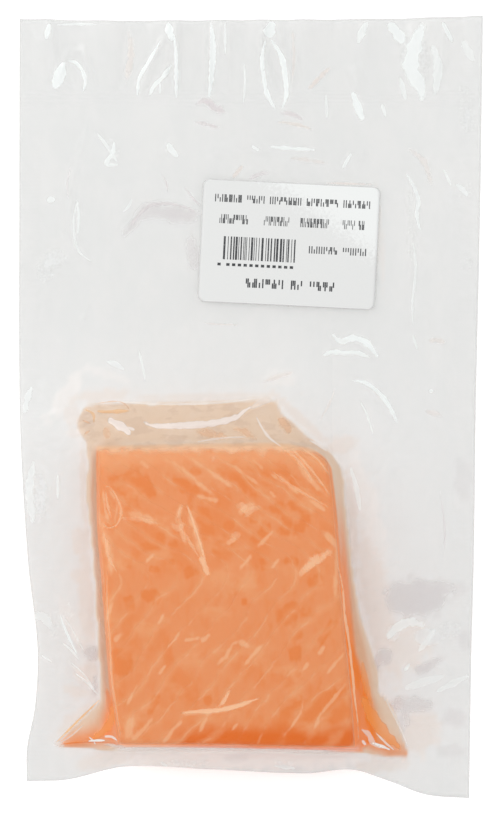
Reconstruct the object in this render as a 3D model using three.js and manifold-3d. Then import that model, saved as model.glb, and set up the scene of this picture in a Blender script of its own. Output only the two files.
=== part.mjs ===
// A vacuum pack lying on a table: one skin-on salmon portion sealed in a clear bag, with a
// scale label stuck on the empty half. Millimetres, +Z up, +Y towards the mouth of the bag.
// The origin is on the table, under the middle of the pack.
import * as THREE from "three";
import { mergeVertices } from "three/addons/utils/BufferGeometryUtils.js";
import Module from "manifold-3d";

// ---- driving dimensions -------------------------------------------------------------------

const FILM = 0.4; // two layers of film pressed together
const GAP = 0.3; // clearance between pieces that touch
const SEAM_HEIGHT = 9; // where the two films meet beside the portion
const SEAM_REACH = 22; // how far from the portion the flange takes to come down to the table
const DROOP = 1.8; // how much sooner it comes down along the bag's near bottom edge
const TABLE_LIFT = 0.7; // the flange's lowest waves over the table
const WAVE = 0.8; // height of the flange's slow waves
const LIP_START = 101; // the loose lip past the mouth's heat seal begins here
const LIP_FOLD = 1.5; // height of the lip's folds
const LIP_PITCH = 17; // distance between the lip's folds

// The bag's four edges: [position along the edge, offset], in order of position.
const BAG_LEFT = [[-123, -73.6], [-112, -73.5], [-98, -70.8], [-78.5, -70], [-50, -73.2], [0, -75.9],
  [70, -76.2], [128.5, -76.1]];
const BAG_RIGHT = [[-128.5, 71.6], [-85, 72.3], [-50, 73.2], [0, 73.9], [70, 75.4], [128.5, 76.2]];
const BAG_BOTTOM = [[-73.6, -122.9], [-60, -122.2], [-41.3, -117.7], [-12, -118.7], [18, -120],
  [33, -118.7], [45, -122.5], [57.4, -127.2], [71.6, -128.5]];
const BAG_TOP = [[-75.9, 127.6], [-45, 126.9], [0, 127.2], [45, 127.5], [76.2, 128.5]];

// The portion's four sides, the same way: cut sides left and right, belly and back top and bottom.
const FISH_LEFT = [[-110, -42.8], [-95, -45.3], [-75, -47], [-58, -48.2], [-48, -49.1],
  [-38, -49.9], [-13, -50.4]];
const FISH_RIGHT = [[-110, 34.3], [-94, 33.3], [-75, 31.3], [-51, 29.1], [-35, 27.9], [-27, 27.1],
  [-20, 26.2]];
const FISH_BOTTOM = [[-44, -109.1], [-20, -109.1], [0, -109.5], [35, -110.2]];
const FISH_TOP = [[-51, -12.7], [0, -11.7], [13, -12.1], [20, -13.7], [24, -16.4], [26.6, -20.4]];
const FISH_THICK = 26; // at the thick back, towards the bag's bottom
const FISH_THIN = 19; // at the belly edge, towards the bag's mouth
const SHOULDER = 3.2; // radius of the portion's upper edges
const BELLY_SHOULDER = 6; // radius of its upper edge at the belly
const KEEL = 2.5; // radius of its lower edges

// Where the film that hangs off the portion reaches the flange, anticlockwise from the lower
// left: two pleated ears at the bottom corners and a wide bridge over the belly edge.
const TENT = [[-64.6, -111.4], [-40, -112], [35.4, -112.7], [42, -113.8], [52, -115.2],
  [49.4, -107.5], [46.6, -98.9], [44.3, -95.3], [41.4, -93.8], [41.6, -86.7], [40.1, -82],
  [38.3, -76], [35.5, -67.5], [33.2, -54], [31.6, -40], [30.8, -33], [30.2, -25.3], [29.8, -21],
  [28.8, -18.6], [25.8, -14.9], [20.9, -11.4], [17.2, -8.6], [12.8, -4.5], [9.5, -2], [8.8, 1.2],
  [6.2, 3], [-3.6, 2.1], [-18, 1.2], [-32.6, 0.7], [-43.4, 1.4], [-54.3, 0.4], [-57, -4.6],
  [-56, -9.4], [-53.5, -11], [-53.1, -20.5], [-54, -25], [-52.9, -35], [-52.2, -41],
  [-51.6, -48.3], [-50.8, -58], [-49.9, -76], [-49.1, -89], [-49, -96]];
// Each ear is held out by a pleat from the portion's shoulder to the ear's tip.
const PLEATS = [{ from: [-43.6, -105.6], to: [-63.2, -110.9], fall: 0.82 },
  { from: [34.2, -105.8], to: [50.8, -114.3], fall: 0.82 }];
const PLEAT_WIDTH = 1.3;
const SAG = 0.05; // how strongly the vacuum pulls the free film in, per square millimetre
const WALL = 1.6; // how far outside the portion the lower film turns up
const RISE = 1.8; // and the distance in which it reaches the flange
const FIELD = { x: -67.5, y: -120, step: 1.5, columns: 85, rows: 86 }; // where the tents are

const LABEL = { width: 58, height: 40, corner: 2, thick: 0.2, at: [12.5, 53.4], turn: -2.8 };

// ---- plan curves --------------------------------------------------------------------------

// A smooth function through [position, value] pairs: cubic Hermite spans with central slopes.
function through(points) {
  const slope = points.map((p, i) => {
    const a = points[Math.max(i - 1, 0)];
    const b = points[Math.min(i + 1, points.length - 1)];
    return (b[1] - a[1]) / (b[0] - a[0]);
  });
  return (at) => {
    let i = points.findIndex((p) => p[0] > at) - 1;
    if (i < 0) i = at < points[0][0] ? 0 : points.length - 2;
    const [x0, y0] = points[i];
    const [x1, y1] = points[i + 1];
    const span = x1 - x0;
    const t = THREE.MathUtils.clamp((at - x0) / span, 0, 1);
    const bend = (1 - t) * (1 - t) * t * slope[i] - (1 - t) * t * t * slope[i + 1];
    return y0 + (y1 - y0) * t * t * (3 - 2 * t) + span * bend;
  };
}

const bag = { left: through(BAG_LEFT), right: through(BAG_RIGHT), bottom: through(BAG_BOTTOM),
  top: through(BAG_TOP) };
const fish = { left: through(FISH_LEFT), right: through(FISH_RIGHT), bottom: through(FISH_BOTTOM),
  top: through(FISH_TOP) };

const lerp = THREE.MathUtils.lerp;
const smoothstep = THREE.MathUtils.smoothstep;

// The value at t along a chain of values that are evenly spaced in t.
function along(chain, t) {
  const i = Math.min(Math.floor(t * (chain.length - 1)), chain.length - 2);
  return lerp(chain[i], chain[i + 1], t * (chain.length - 1) - i);
}

// The point at (u, v) of a patch whose column and row lines follow the given curves.
function inPatch(columnsAt, rowsAt, u, v) {
  let x = 0;
  let y = 0;
  for (let pass = 0; pass < 6; pass++) {
    x = along(columnsAt(y), u);
    y = along(rowsAt(x), v);
  }
  return [x, y];
}

// Line positions from 0 to 1: counts[i] even steps within each of the equal spans of a patch.
function stations(...counts) {
  const at = [0];
  counts.forEach((n, i) => {
    for (let k = 1; k <= n; k++) at.push((i + k / n) / counts.length);
  });
  return at;
}

function distanceToSegment(x, y, [ax, ay], [bx, by]) {
  const along = ((x - ax) * (bx - ax) + (y - ay) * (by - ay)) / ((bx - ax) ** 2 + (by - ay) ** 2);
  const t = THREE.MathUtils.clamp(along, 0, 1);
  return { far: Math.hypot(x - lerp(ax, bx, t), y - lerp(ay, by, t)), t };
}

function insideTent(x, y) {
  let inside = false;
  TENT.forEach(([ax, ay], i) => {
    const [bx, by] = TENT[(i + 1) % TENT.length];
    if (ay > y !== by > y && x < ax + ((y - ay) * (bx - ax)) / (by - ay)) inside = !inside;
  });
  return inside;
}

// ---- heights ------------------------------------------------------------------------------

// How far (x, y) lies outside the portion's sides, and 0 inside them. Distance towards the
// bag's bottom edge may count for more.
function outside(x, y, towardsBottom = 1) {
  const dx = Math.max(fish.left(y) - x, x - fish.right(y), 0);
  const dy = Math.max(towardsBottom * (fish.bottom(x) - y), y - fish.top(x), 0);
  return Math.hypot(dx, dy);
}

// The depth of a rounded edge of the given radius, at a distance in from the side.
function rounded(inward, radius) {
  const s = THREE.MathUtils.clamp(1 - inward / radius, 0, 1);
  return radius * (1 - Math.sqrt(1 - s * s));
}

// The portion's upper surface: a wedge from back to belly with a low crown and rounded edges.
function fishTop(x, y) {
  const back = smoothstep(-y, 10, 62);
  const across = (x - fish.left(y)) / (fish.right(y) - fish.left(y));
  const crown = 1.2 * Math.sin(Math.PI * THREE.MathUtils.clamp(across, 0, 1));
  const edges = rounded(x - fish.left(y), SHOULDER) + rounded(fish.right(y) - x, SHOULDER)
    + rounded(y - fish.bottom(x), SHOULDER) + rounded(fish.top(x) - y, BELLY_SHOULDER);
  return Math.max(lerp(FISH_THIN, FISH_THICK - 1.2, back) + crown - edges, KEEL + 3);
}

function fishBottom(x, y) {
  const edges = rounded(x - fish.left(y), KEEL) + rounded(fish.right(y) - x, KEEL)
    + rounded(y - fish.bottom(x), KEEL) + rounded(fish.top(x) - y, KEEL);
  return FILM + GAP + Math.min(edges, KEEL);
}

// The middle of the two films where they lie together: high beside the portion, down to the
// table further out, with slow waves and the upright folds of the loose lip.
function flange(x, y) {
  const seam = (SEAM_HEIGHT - TABLE_LIFT) * Math.exp(-((outside(x, y, DROOP) / SEAM_REACH) ** 1.5));
  const waves = 0.5 * WAVE * (1 + Math.sin(x / 19 + 0.8 * Math.sin(y / 23)) * Math.cos(y / 27 + x / 60));
  const lip = smoothstep(y, LIP_START, 128) * 0.5 * LIP_FOLD;
  const folds = lip * (1 + Math.sin((2 * Math.PI * x) / LIP_PITCH + 1.3 * Math.sin(x / 13)));
  return TABLE_LIFT + seam + waves * smoothstep(outside(x, y), 3, 30) + folds;
}

// The lower film: flat under the portion, up round its lower edge, then along the flange.
function underside(x, y) {
  return (flange(x, y) - FILM / 2) * smoothstep(outside(x, y), WALL, WALL + RISE);
}

// The upper film is drawn tight over whatever holds it up: inside the tents each point is the
// mean of its neighbours, less the pull of the vacuum, and never lower than its support.
function drawnFilm() {
  const { x: x0, y: y0, step, columns, rows } = FIELD;
  const height = new Float64Array(columns * rows);
  const support = new Float64Array(columns * rows);
  const free = [];
  for (let at = 0; at < columns * rows; at++) {
    const x = x0 + (at % columns) * step;
    const y = y0 + Math.floor(at / columns) * step;
    height[at] = flange(x, y) + FILM / 2;
    support[at] = outside(x, y) > 0 ? height[at] : fishTop(x, y);
    if (!insideTent(x, y)) continue;
    free.push(at);
    for (const { from, to, fall } of PLEATS) {
      const { far, t } = distanceToSegment(x, y, from, to);
      const crest = lerp(fishTop(...from), flange(...to), t ** fall);
      if (far < PLEAT_WIDTH) support[at] = Math.max(support[at], crest);
    }
  }
  for (let pass = 0; pass < 900; pass++)
    for (const at of free) {
      const mean = (height[at - 1] + height[at + 1] + height[at - columns] + height[at + columns]) / 4;
      height[at] = Math.max(mean - (SAG * step * step) / 4, support[at]);
    }
  return (x, y) => {
    const i = (x - x0) / step;
    const j = (y - y0) / step;
    if (i < 0 || j < 0 || i >= columns - 1 || j >= rows - 1) return flange(x, y) + FILM / 2;
    const at = Math.floor(j) * columns + Math.floor(i);
    const low = lerp(height[at], height[at + 1], i % 1);
    const high = lerp(height[at + columns], height[at + columns + 1], i % 1);
    return lerp(low, high, j % 1);
  };
}

// ---- solids -------------------------------------------------------------------------------

// A closed slab over a grid of plan points, between an upper and a lower surface.
function slab(us, vs, place, top, bottom) {
  const plan = vs.map((v) => us.map((u) => place(u, v)));
  const across = us.length;
  const layer = across * vs.length;
  const position = [];
  for (const height of [top, bottom])
    for (const row of plan) for (const [x, y] of row) position.push(x, y, height(x, y));
  const index = [];
  const quad = (a, b, c, d) => index.push(a, b, c, a, c, d);
  for (let j = 0; j < vs.length - 1; j++)
    for (let i = 0; i < across - 1; i++) {
      const a = j * across + i;
      quad(a, a + 1, a + across + 1, a + across);
      quad(a + layer, a + across + layer, a + across + 1 + layer, a + 1 + layer);
    }
  const rim = [];
  for (let i = 0; i < across - 1; i++) rim.push(i);
  for (let j = 0; j < vs.length - 1; j++) rim.push(j * across + across - 1);
  for (let i = across - 1; i > 0; i--) rim.push((vs.length - 1) * across + i);
  for (let j = vs.length - 1; j > 0; j--) rim.push(j * across);
  rim.forEach((a, k) => {
    const b = rim[(k + 1) % rim.length];
    quad(a, a + layer, b + layer, b);
  });
  const geometry = new THREE.BufferGeometry();
  geometry.setAttribute("position", new THREE.Float32BufferAttribute(position, 3));
  geometry.setIndex(index);
  return geometry;
}

const wasm = await Module();
wasm.setup();

function solidOf(geometry) {
  const merged = mergeVertices(geometry);
  const vertProperties = new Float32Array(merged.getAttribute("position").array);
  const triVerts = new Uint32Array(merged.index.array);
  return new wasm.Manifold(new wasm.Mesh({ numProp: 3, vertProperties, triVerts }));
}

function geometryOf(solid) {
  const mesh = solid.getMesh();
  const geometry = new THREE.BufferGeometry();
  geometry.setAttribute("position", new THREE.Float32BufferAttribute(mesh.vertProperties, 3));
  geometry.setIndex(new THREE.BufferAttribute(mesh.triVerts, 1));
  return geometry;
}

function named(name, geometry, material) {
  geometry.computeVertexNormals();
  const mesh = new THREE.Mesh(geometry, material);
  mesh.name = name;
  return mesh;
}

const FISH_COLUMNS = stations(3, 12, 3);
const FISH_ROWS = stations(3, 14, 4);

// The plan of the portion, let out all round by the given spread.
function fishPlace(spread) {
  const columnsAt = (y) => [fish.left(y) - spread, fish.left(y) + SHOULDER, fish.right(y) - SHOULDER,
    fish.right(y) + spread];
  const rowsAt = (x) => [fish.bottom(x) - spread, fish.bottom(x) + SHOULDER,
    fish.top(x) - BELLY_SHOULDER, fish.top(x) + spread];
  return (u, v) => inPatch(columnsAt, rowsAt, u, v);
}

function salmonPortion() {
  const geometry = slab(FISH_COLUMNS, FISH_ROWS, fishPlace(0), fishTop, fishBottom);
  const material = new THREE.MeshStandardMaterial({ color: 0xe79769, roughness: 0.4, metalness: 0 });
  return named("salmon_portion", geometry, material);
}

// The bag is solid out to its film: two films and the fish juices between them, with the space
// that the portion fills left open above it.
function sealedBag() {
  const columnsAt = (y) => [bag.left(y), fish.left(y) - 6, fish.left(y) - WALL, fish.left(y),
    fish.right(y), fish.right(y) + WALL, fish.right(y) + 9, bag.right(y)];
  const rowsAt = (x) => [bag.bottom(x), fish.bottom(x) - 3.4, fish.bottom(x) - WALL, fish.bottom(x),
    fish.top(x), fish.top(x) + WALL, fish.top(x) + 13, bag.top(x)];
  const place = (u, v) => inPatch(columnsAt, rowsAt, u, v);
  const shell = slab(stations(6, 3, 1, 8, 1, 5, 7), stations(3, 1, 1, 10, 1, 6, 22), place,
    drawnFilm(), underside);
  const room = slab(FISH_COLUMNS, FISH_ROWS, fishPlace(GAP), () => 2 * FISH_THICK, () => FILM);
  const geometry = geometryOf(solidOf(shell).subtract(solidOf(room)));
  const material = new THREE.MeshStandardMaterial({ color: 0xe8e8e6, roughness: 0.15, metalness: 0,
    transparent: true, opacity: 0.6 });
  return named("bag", geometry, material);
}

// The label follows the waves of the film that it is stuck on, and its corners are round.
function scaleLabel() {
  const { width, height, corner, thick, at, turn } = LABEL;
  const angle = THREE.MathUtils.degToRad(turn);
  const place = (u, v) => {
    const down = height * (v - 0.5);
    const cut = rounded(height / 2 - Math.abs(down), corner);
    const right = (width - 2 * cut) * (u - 0.5);
    return [at[0] + right * Math.cos(angle) - down * Math.sin(angle),
      at[1] + right * Math.sin(angle) + down * Math.cos(angle)];
  };
  const rows = [0, 0.01, 0.025, 0.05, 0.2, 0.35, 0.5, 0.65, 0.8, 0.95, 0.975, 0.99, 1];
  const under = (x, y) => flange(x, y) + FILM / 2 + GAP;
  const geometry = slab(stations(12), rows, place, (x, y) => under(x, y) + thick, under);
  const material = new THREE.MeshStandardMaterial({ color: 0xeff1f0, roughness: 0.55, metalness: 0 });
  return named("label", geometry, material);
}

const pack = new THREE.Group();
pack.add(salmonPortion(), sealedBag(), scaleLabel());

export default pack;
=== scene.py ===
"""Looks of a vacuum pack: a salmon portion sealed in a clear bag, with a scale label.

Lengths in this file are millimetres in the pack's own frame: the origin on the table under the
middle of the pack, +Z up, +Y towards the mouth of the bag. They become metres where a mesh is made.
"""

import logging
import math
from dataclasses import dataclass
from enum import Enum
from typing import Callable

import bpy
import numpy as np
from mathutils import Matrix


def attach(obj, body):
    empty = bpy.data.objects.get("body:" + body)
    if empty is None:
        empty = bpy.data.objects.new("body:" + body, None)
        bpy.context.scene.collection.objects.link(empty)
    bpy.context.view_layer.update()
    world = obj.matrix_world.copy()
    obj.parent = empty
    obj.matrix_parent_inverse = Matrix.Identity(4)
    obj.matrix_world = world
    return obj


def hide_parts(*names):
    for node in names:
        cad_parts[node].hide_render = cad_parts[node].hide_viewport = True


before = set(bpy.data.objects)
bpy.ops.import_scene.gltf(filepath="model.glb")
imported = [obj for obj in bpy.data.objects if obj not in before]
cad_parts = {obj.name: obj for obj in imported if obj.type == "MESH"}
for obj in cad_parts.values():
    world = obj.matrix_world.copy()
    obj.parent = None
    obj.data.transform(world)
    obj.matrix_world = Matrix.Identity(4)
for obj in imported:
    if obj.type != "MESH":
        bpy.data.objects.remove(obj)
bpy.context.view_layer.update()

Array = np.ndarray
Point = tuple[float, float]
Socket = bpy.types.NodeSocket
Node = bpy.types.Node
Material = bpy.types.Material
Piece = bpy.types.Object
LOG = logging.getLogger("pack")
MM = 0.001


# ---- small maths ------------------------------------------------------------------------------


def smoothstep(value: Array, low: float, high: float) -> Array:
    """Smooth rise from 0 at low to 1 at high: 3t^2 - 2t^3 of the clamped position t between them."""
    t = np.clip((value - low) / (high - low), 0.0, 1.0)
    return t * t * (3.0 - 2.0 * t)


def mixed(a: Array, b: Array, t: Array) -> Array:
    """Straight blend from a at t = 0 to b at t = 1."""
    return a + (b - a) * t


def bell(distance: Array, width: float) -> Array:
    """Bell curve of the given half width: exp(-(distance / width)^2)."""
    return np.exp(-((distance / width) ** 2))


def rounded(inward: Array, radius: float) -> Array:
    """Depth of a quarter-round edge below its flat, at a distance inward from its side."""
    s = np.clip(1.0 - inward / radius, 0.0, 1.0)
    return radius * (1.0 - np.sqrt(1.0 - s * s))


@dataclass(frozen=True)
class Curve:
    """A smooth function through (position, value) pairs, in order of position."""

    points: tuple[Point, ...]

    def __call__(self, at: Array) -> Array:
        """Values of the cubic Hermite curve whose slopes are central differences.

        Args:
            at: Positions; outside the points the end values hold.

        Returns:
            The curve's value at each position.
        """
        x, y = np.array(self.points, float).T
        last = len(x) - 1
        before, after = np.maximum(np.arange(last + 1) - 1, 0), np.minimum(np.arange(last + 1) + 1, last)
        slope = (y[after] - y[before]) / (x[after] - x[before])
        i = np.clip(np.searchsorted(x, at, side="right") - 1, 0, last - 1)
        span = x[i + 1] - x[i]
        t = np.clip((at - x[i]) / span, 0.0, 1.0)
        bend = (1 - t) ** 2 * t * slope[i] - (1 - t) * t * t * slope[i + 1]
        return mixed(y[i], y[i + 1], t * t * (3 - 2 * t)) + span * bend


@dataclass(frozen=True)
class Noise:
    """Soft seeded noise over the plan: a sum of plane waves of like length and random bearing."""

    seed: int
    length: float
    waves: int = 9
    stretch: float = 1.0

    def __call__(self, x: Array, y: Array) -> Array:
        """Noise of about -1 to 1: mean of cosines whose bearings and phases are drawn once.

        Args:
            x: Plan positions across the bag.
            y: Plan positions along the bag, which stretch makes the noise longer in.

        Returns:
            The noise at each position.
        """
        draw = np.random.default_rng(self.seed)
        total = np.zeros(np.broadcast(x, y).shape)
        for turn, phase, size in draw.random((self.waves, 3)):
            k = 2 * math.pi / (self.length * (0.7 + 0.8 * size))
            across, along = k * math.cos(math.pi * turn), k * math.sin(math.pi * turn)
            total = total + np.cos(across * x + along * y / self.stretch + 2 * math.pi * phase)
        return total * (1.6 / self.waves)


# ---- forms that the pieces share ----------------------------------------------------------------


@dataclass(frozen=True)
class Outline:
    """The four sides of a patch in plan."""

    left: Curve
    right: Curve
    bottom: Curve
    top: Curve

    def outside(self, x: Array, y: Array, towards_bottom: float = 1.0) -> Array:
        """Distance outside the four sides, and 0 inside them.

        Args:
            x: Places across.
            y: Places along.
            towards_bottom: Weight of the distance past the bottom side.

        Returns:
            The length of the vector from the nearest sides.
        """
        dx = np.maximum(np.maximum(self.left(y) - x, x - self.right(y)), 0.0)
        dy = np.maximum(np.maximum(towards_bottom * (self.bottom(x) - y), y - self.top(x)), 0.0)
        return np.hypot(dx, dy)

    def inward(self, x: Array, y: Array) -> Array:
        """Distance in from the nearest side, below 0 outside."""
        across = np.minimum(x - self.left(y), self.right(y) - x)
        return np.minimum(across, np.minimum(y - self.bottom(x), self.top(x) - y))

    def rounding(self, x: Array, y: Array, radius: float, top_radius: float) -> Array:
        """Depth of the quarter rounds along the four sides, the top side with its own radius."""
        return (rounded(x - self.left(y), radius) + rounded(self.right(y) - x, radius)
                + rounded(y - self.bottom(x), radius) + rounded(self.top(x) - y, top_radius))


BAG = Outline(
    left=Curve(((-123, -73.6), (-112, -73.5), (-98, -70.8), (-78.5, -70), (-50, -73.2), (0, -75.9),
                (70, -76.2), (128.5, -76.1))),
    right=Curve(((-128.5, 71.6), (-85, 72.3), (-50, 73.2), (0, 73.9), (70, 75.4), (128.5, 76.2))),
    bottom=Curve(((-73.6, -122.9), (-60, -122.2), (-41.3, -117.7), (-12, -118.7), (18, -120),
                  (33, -118.7), (45, -122.5), (57.4, -127.2), (71.6, -128.5))),
    top=Curve(((-75.9, 127.6), (-45, 126.9), (0, 127.2), (45, 127.5), (76.2, 128.5))),
)

PORTION = Outline(
    left=Curve(((-110, -42.8), (-95, -45.3), (-75, -47), (-58, -48.2), (-48, -49.1), (-38, -49.9),
                (-13, -50.4))),
    right=Curve(((-110, 34.3), (-94, 33.3), (-75, 31.3), (-51, 29.1), (-35, 27.9), (-27, 27.1),
                (-20, 26.2))),
    bottom=Curve(((-44, -109.1), (-20, -109.1), (0, -109.5), (35, -110.2))),
    top=Curve(((-51, -12.7), (0, -11.7), (13, -12.1), (20, -13.7), (24, -16.4), (26.6, -20.4))),
)


@dataclass(frozen=True)
class PortionForm:
    """The block of salmon: a wedge that is thick at the back and thin at the belly."""

    sides: Outline = PORTION
    thick: float = 26.0
    thin: float = 19.0
    crown: float = 1.2
    shoulder: float = 3.2
    belly_shoulder: float = 6.0
    keel: float = 2.5
    least: float = 5.5
    slope: Point = (10.0, 62.0)
    lift: float = 0.7

    def top(self, x: Array, y: Array) -> Array:
        """Upper face: the wedge's slope plus a sine crown, less a quarter round at every side.

        Args:
            x: Places across.
            y: Places along.

        Returns:
            The heights.
        """
        s = self.sides
        across = np.clip((x - s.left(y)) / (s.right(y) - s.left(y)), 0, 1)
        slope = mixed(self.thin, self.thick - self.crown, smoothstep(-y, *self.slope))
        edges = s.rounding(x, y, self.shoulder, self.belly_shoulder)
        return np.maximum(slope + self.crown * np.sin(math.pi * across) - edges, self.least)

    def bottom(self, x: Array, y: Array) -> Array:
        """Under face: flat, with a small quarter round at every side."""
        return self.lift + np.minimum(self.sides.rounding(x, y, self.keel, self.keel), self.keel)


@dataclass(frozen=True)
class FlangeForm:
    """The two films where they lie together."""

    around: Outline = PORTION
    seam_height: float = 9.0
    reach: float = 22.0
    droop: float = 1.8
    table_lift: float = 0.7
    wave: float = 0.8
    lip_start: float = 101.0
    lip_fold: float = 1.5
    lip_pitch: float = 17.0

    def middle(self, x: Array, y: Array) -> Array:
        """Height of the seam: an exponential fall from beside the portion, slow waves, lip folds.

        Args:
            x: Places across.
            y: Places along.

        Returns:
            The heights of the middle between the films.
        """
        out = self.around.outside(x, y)
        fall = np.exp(-((self.around.outside(x, y, self.droop) / self.reach) ** 1.5))
        slow = 1 + np.sin(x / 19 + 0.8 * np.sin(y / 23)) * np.cos(y / 27 + x / 60)
        folds = 1 + np.sin(2 * math.pi * x / self.lip_pitch + 1.3 * np.sin(x / 13))
        return (self.table_lift + (self.seam_height - self.table_lift) * fall
                + 0.5 * self.wave * slow * smoothstep(out, 3, 30)
                + 0.5 * self.lip_fold * folds * smoothstep(y, self.lip_start, 128))


@dataclass(frozen=True)
class Pleat:
    """A taut fold that holds the film up between two points."""

    start: Point
    end: Point
    fall: float
    width: float


def segment_distance(x: Array, y: Array, a: Point, b: Point) -> tuple[Array, Array]:
    """Distance to a segment: that to its nearest point, which is the foot of the plumb, clamped.

    Args:
        x: Places across.
        y: Places along.
        a: The segment's start.
        b: Its end.

    Returns:
        The distance, and the nearest point's place from 0 to 1 along the segment.
    """
    (ax, ay), (bx, by) = a, b
    t = np.clip(((x - ax) * (bx - ax) + (y - ay) * (by - ay)) / ((bx - ax) ** 2 + (by - ay) ** 2), 0, 1)
    return np.hypot(x - mixed(ax, bx, t), y - mixed(ay, by, t)), t


def inside_polygon(x: Array, y: Array, corners: tuple[Point, ...]) -> Array:
    """True where a ray along +X crosses the closed polygon an odd number of times.

    Args:
        x: Places across.
        y: Places along.
        corners: The polygon's corners, in order.

    Returns:
        True inside.
    """
    hit = np.zeros(np.broadcast(x, y).shape, bool)
    for (ax, ay), (bx, by) in zip(corners, corners[1:] + corners[:1]):
        if ay != by:
            crosses = (ay > y) != (by > y)
            hit ^= crosses & (x < ax + (y - ay) * (bx - ax) / (by - ay))
    return hit


def blurred(values: Array, passes: int) -> Array:
    """Repeated mean of each cell, at half the weight, and its four neighbours, at an eighth each.

    Args:
        values: A grid of values.
        passes: How often the mean is taken.

    Returns:
        The softened grid.
    """
    for _ in range(passes):
        padded = np.pad(values, 1, mode="edge")
        ring = padded[:-2, 1:-1] + padded[2:, 1:-1] + padded[1:-1, :-2] + padded[1:-1, 2:]
        values = 0.5 * values + 0.125 * ring
    return values


@dataclass
class DrawnFilm:
    """The upper film, drawn tight over the portion, the pleats and the flange."""

    portion: PortionForm = PortionForm()
    flange: FlangeForm = FlangeForm()
    half_film: float = 0.1
    clearance: float = 0.15
    sag: float = 0.05
    step: float = 0.75
    origin: Point = (-67.5, -121.5)
    cells: tuple[int, int] = (176, 178)
    passes: int = 2600
    tent: tuple[Point, ...] = (
        (-64.6, -111.4), (-40, -112), (35.4, -112.7), (42, -113.8), (52, -115.2), (49.4, -107.5),
        (46.6, -98.9), (44.3, -95.3), (41.4, -93.8), (41.6, -86.7), (40.1, -82), (38.3, -76),
        (35.5, -67.5), (33.2, -54), (31.6, -40), (30.8, -33), (30.2, -25.3), (29.8, -21), (28.8, -18.6),
        (25.8, -14.9), (20.9, -11.4), (17.2, -8.6), (12.8, -4.5), (9.5, -2), (8.8, 1.2), (6.2, 3),
        (-3.6, 2.1), (-18, 1.2), (-32.6, 0.7), (-43.4, 1.4), (-54.3, 0.4), (-57, -4.6), (-56, -9.4),
        (-53.5, -11), (-53.1, -20.5), (-54, -25), (-52.9, -35), (-52.2, -41), (-51.6, -48.3),
        (-50.8, -58), (-49.9, -76), (-49.1, -89), (-49, -96))
    pleats: tuple[Pleat, ...] = (
        Pleat((-43.6, -105.6), (-63.2, -110.9), 0.82, 0.9),
        Pleat((34.2, -105.8), (50.8, -114.3), 0.82, 0.9))

    def __post_init__(self) -> None:
        """Solves the film once, on a square grid round the portion."""
        columns, rows = self.cells
        x = self.origin[0] + self.step * np.arange(columns)
        y = self.origin[1] + self.step * np.arange(rows)
        gx, gy = np.meshgrid(x, y)
        self.rest = self.flange.middle(gx, gy) + self.half_film
        self.free = inside_polygon(gx, gy, self.tent)
        self.height = self._relaxed(gx, gy)

    def _relaxed(self, x: Array, y: Array) -> Array:
        """Heights of a film under tension that rests on its supports.

        In each pass every free cell becomes the mean of its four neighbours less the pull of the
        vacuum, and never less than what lies under it. Cells outside the tents stay on the flange.

        Args:
            x: Grid positions across.
            y: Grid positions along.

        Returns:
            The film's height at each grid cell.
        """
        on_block = self.portion.sides.outside(x, y) <= 0
        support = np.where(on_block, self.portion.top(x, y) + self.clearance, self.rest)
        for pleat in self.pleats:
            far, t = segment_distance(x, y, pleat.start, pleat.end)
            high = self.portion.top(np.array(pleat.start[0]), np.array(pleat.start[1]))
            low = self.flange.middle(np.array(pleat.end[0]), np.array(pleat.end[1]))
            crest = mixed(high, low, t ** pleat.fall) - 1.5 * (far / pleat.width) ** 2
            support = np.maximum(support, np.where(self.free & (far < pleat.width * 1.5), crest, -99.0))
        height = np.where(self.free, np.maximum(support, self.rest), self.rest)
        pull = self.sag * self.step ** 2 / 4
        for _ in range(self.passes):
            ring = height[:-2, 1:-1] + height[2:, 1:-1] + height[1:-1, :-2] + height[1:-1, 2:]
            inner = np.maximum(ring / 4 - pull, support[1:-1, 1:-1])
            height[1:-1, 1:-1] = np.where(self.free[1:-1, 1:-1], inner, height[1:-1, 1:-1])
        return self.rest + blurred(height - self.rest, 1)

    def _sampled(self, field_values: Array, x: Array, y: Array) -> Array:
        """Bilinear value of a field on the film's own grid, 0 outside it.

        Args:
            field_values: The field, one value a cell.
            x: Places across.
            y: Places along.

        Returns:
            The field's value at each place.
        """
        i, j = (x - self.origin[0]) / self.step, (y - self.origin[1]) / self.step
        columns, rows = self.cells
        within = (i > 0) & (j > 0) & (i < columns - 1) & (j < rows - 1)
        i, j = np.clip(i, 0, columns - 1.001), np.clip(j, 0, rows - 1.001)
        a, b = np.floor(j).astype(int), np.floor(i).astype(int)
        fi, fj = i - b, j - a
        low = mixed(field_values[a, b], field_values[a, b + 1], fi)
        high = mixed(field_values[a + 1, b], field_values[a + 1, b + 1], fi)
        return np.where(within, mixed(low, high, fj), 0.0)

    def above_flange(self, x: Array, y: Array) -> Array:
        """How far the upper film stands over the flange, without its creases."""
        return self._sampled(self.height - self.rest, x, y)

    def top(self, x: Array, y: Array) -> Array:
        """Height of the upper film, without its creases."""
        return self.flange.middle(x, y) + self.half_film + self.above_flange(x, y)

    def nearness(self, x: Array, y: Array) -> Array:
        """1 in and beside the tents, fading to 0 about eight millimetres outside them."""
        return np.clip(2.0 * self._sampled(blurred(self.free.astype(float), 70), x, y), 0, 1)

    def hanging(self, x: Array, y: Array) -> Array:
        """1 inside the tents' outline, the portion included, and 0 on the flange."""
        return smoothstep(self._sampled(blurred(self.free.astype(float), 5), x, y), 0.3, 0.7)

    def touching(self, x: Array, y: Array) -> Array:
        """1 where the film lies on the portion, falling to 0 where it lifts off at the edges."""
        gap = self.top(x, y) - self.portion.top(x, y) - self.clearance
        return smoothstep(self.portion.sides.inward(x, y), 0.7, 1.5) * (1 - smoothstep(gap, 0.35, 1.3))


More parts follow.
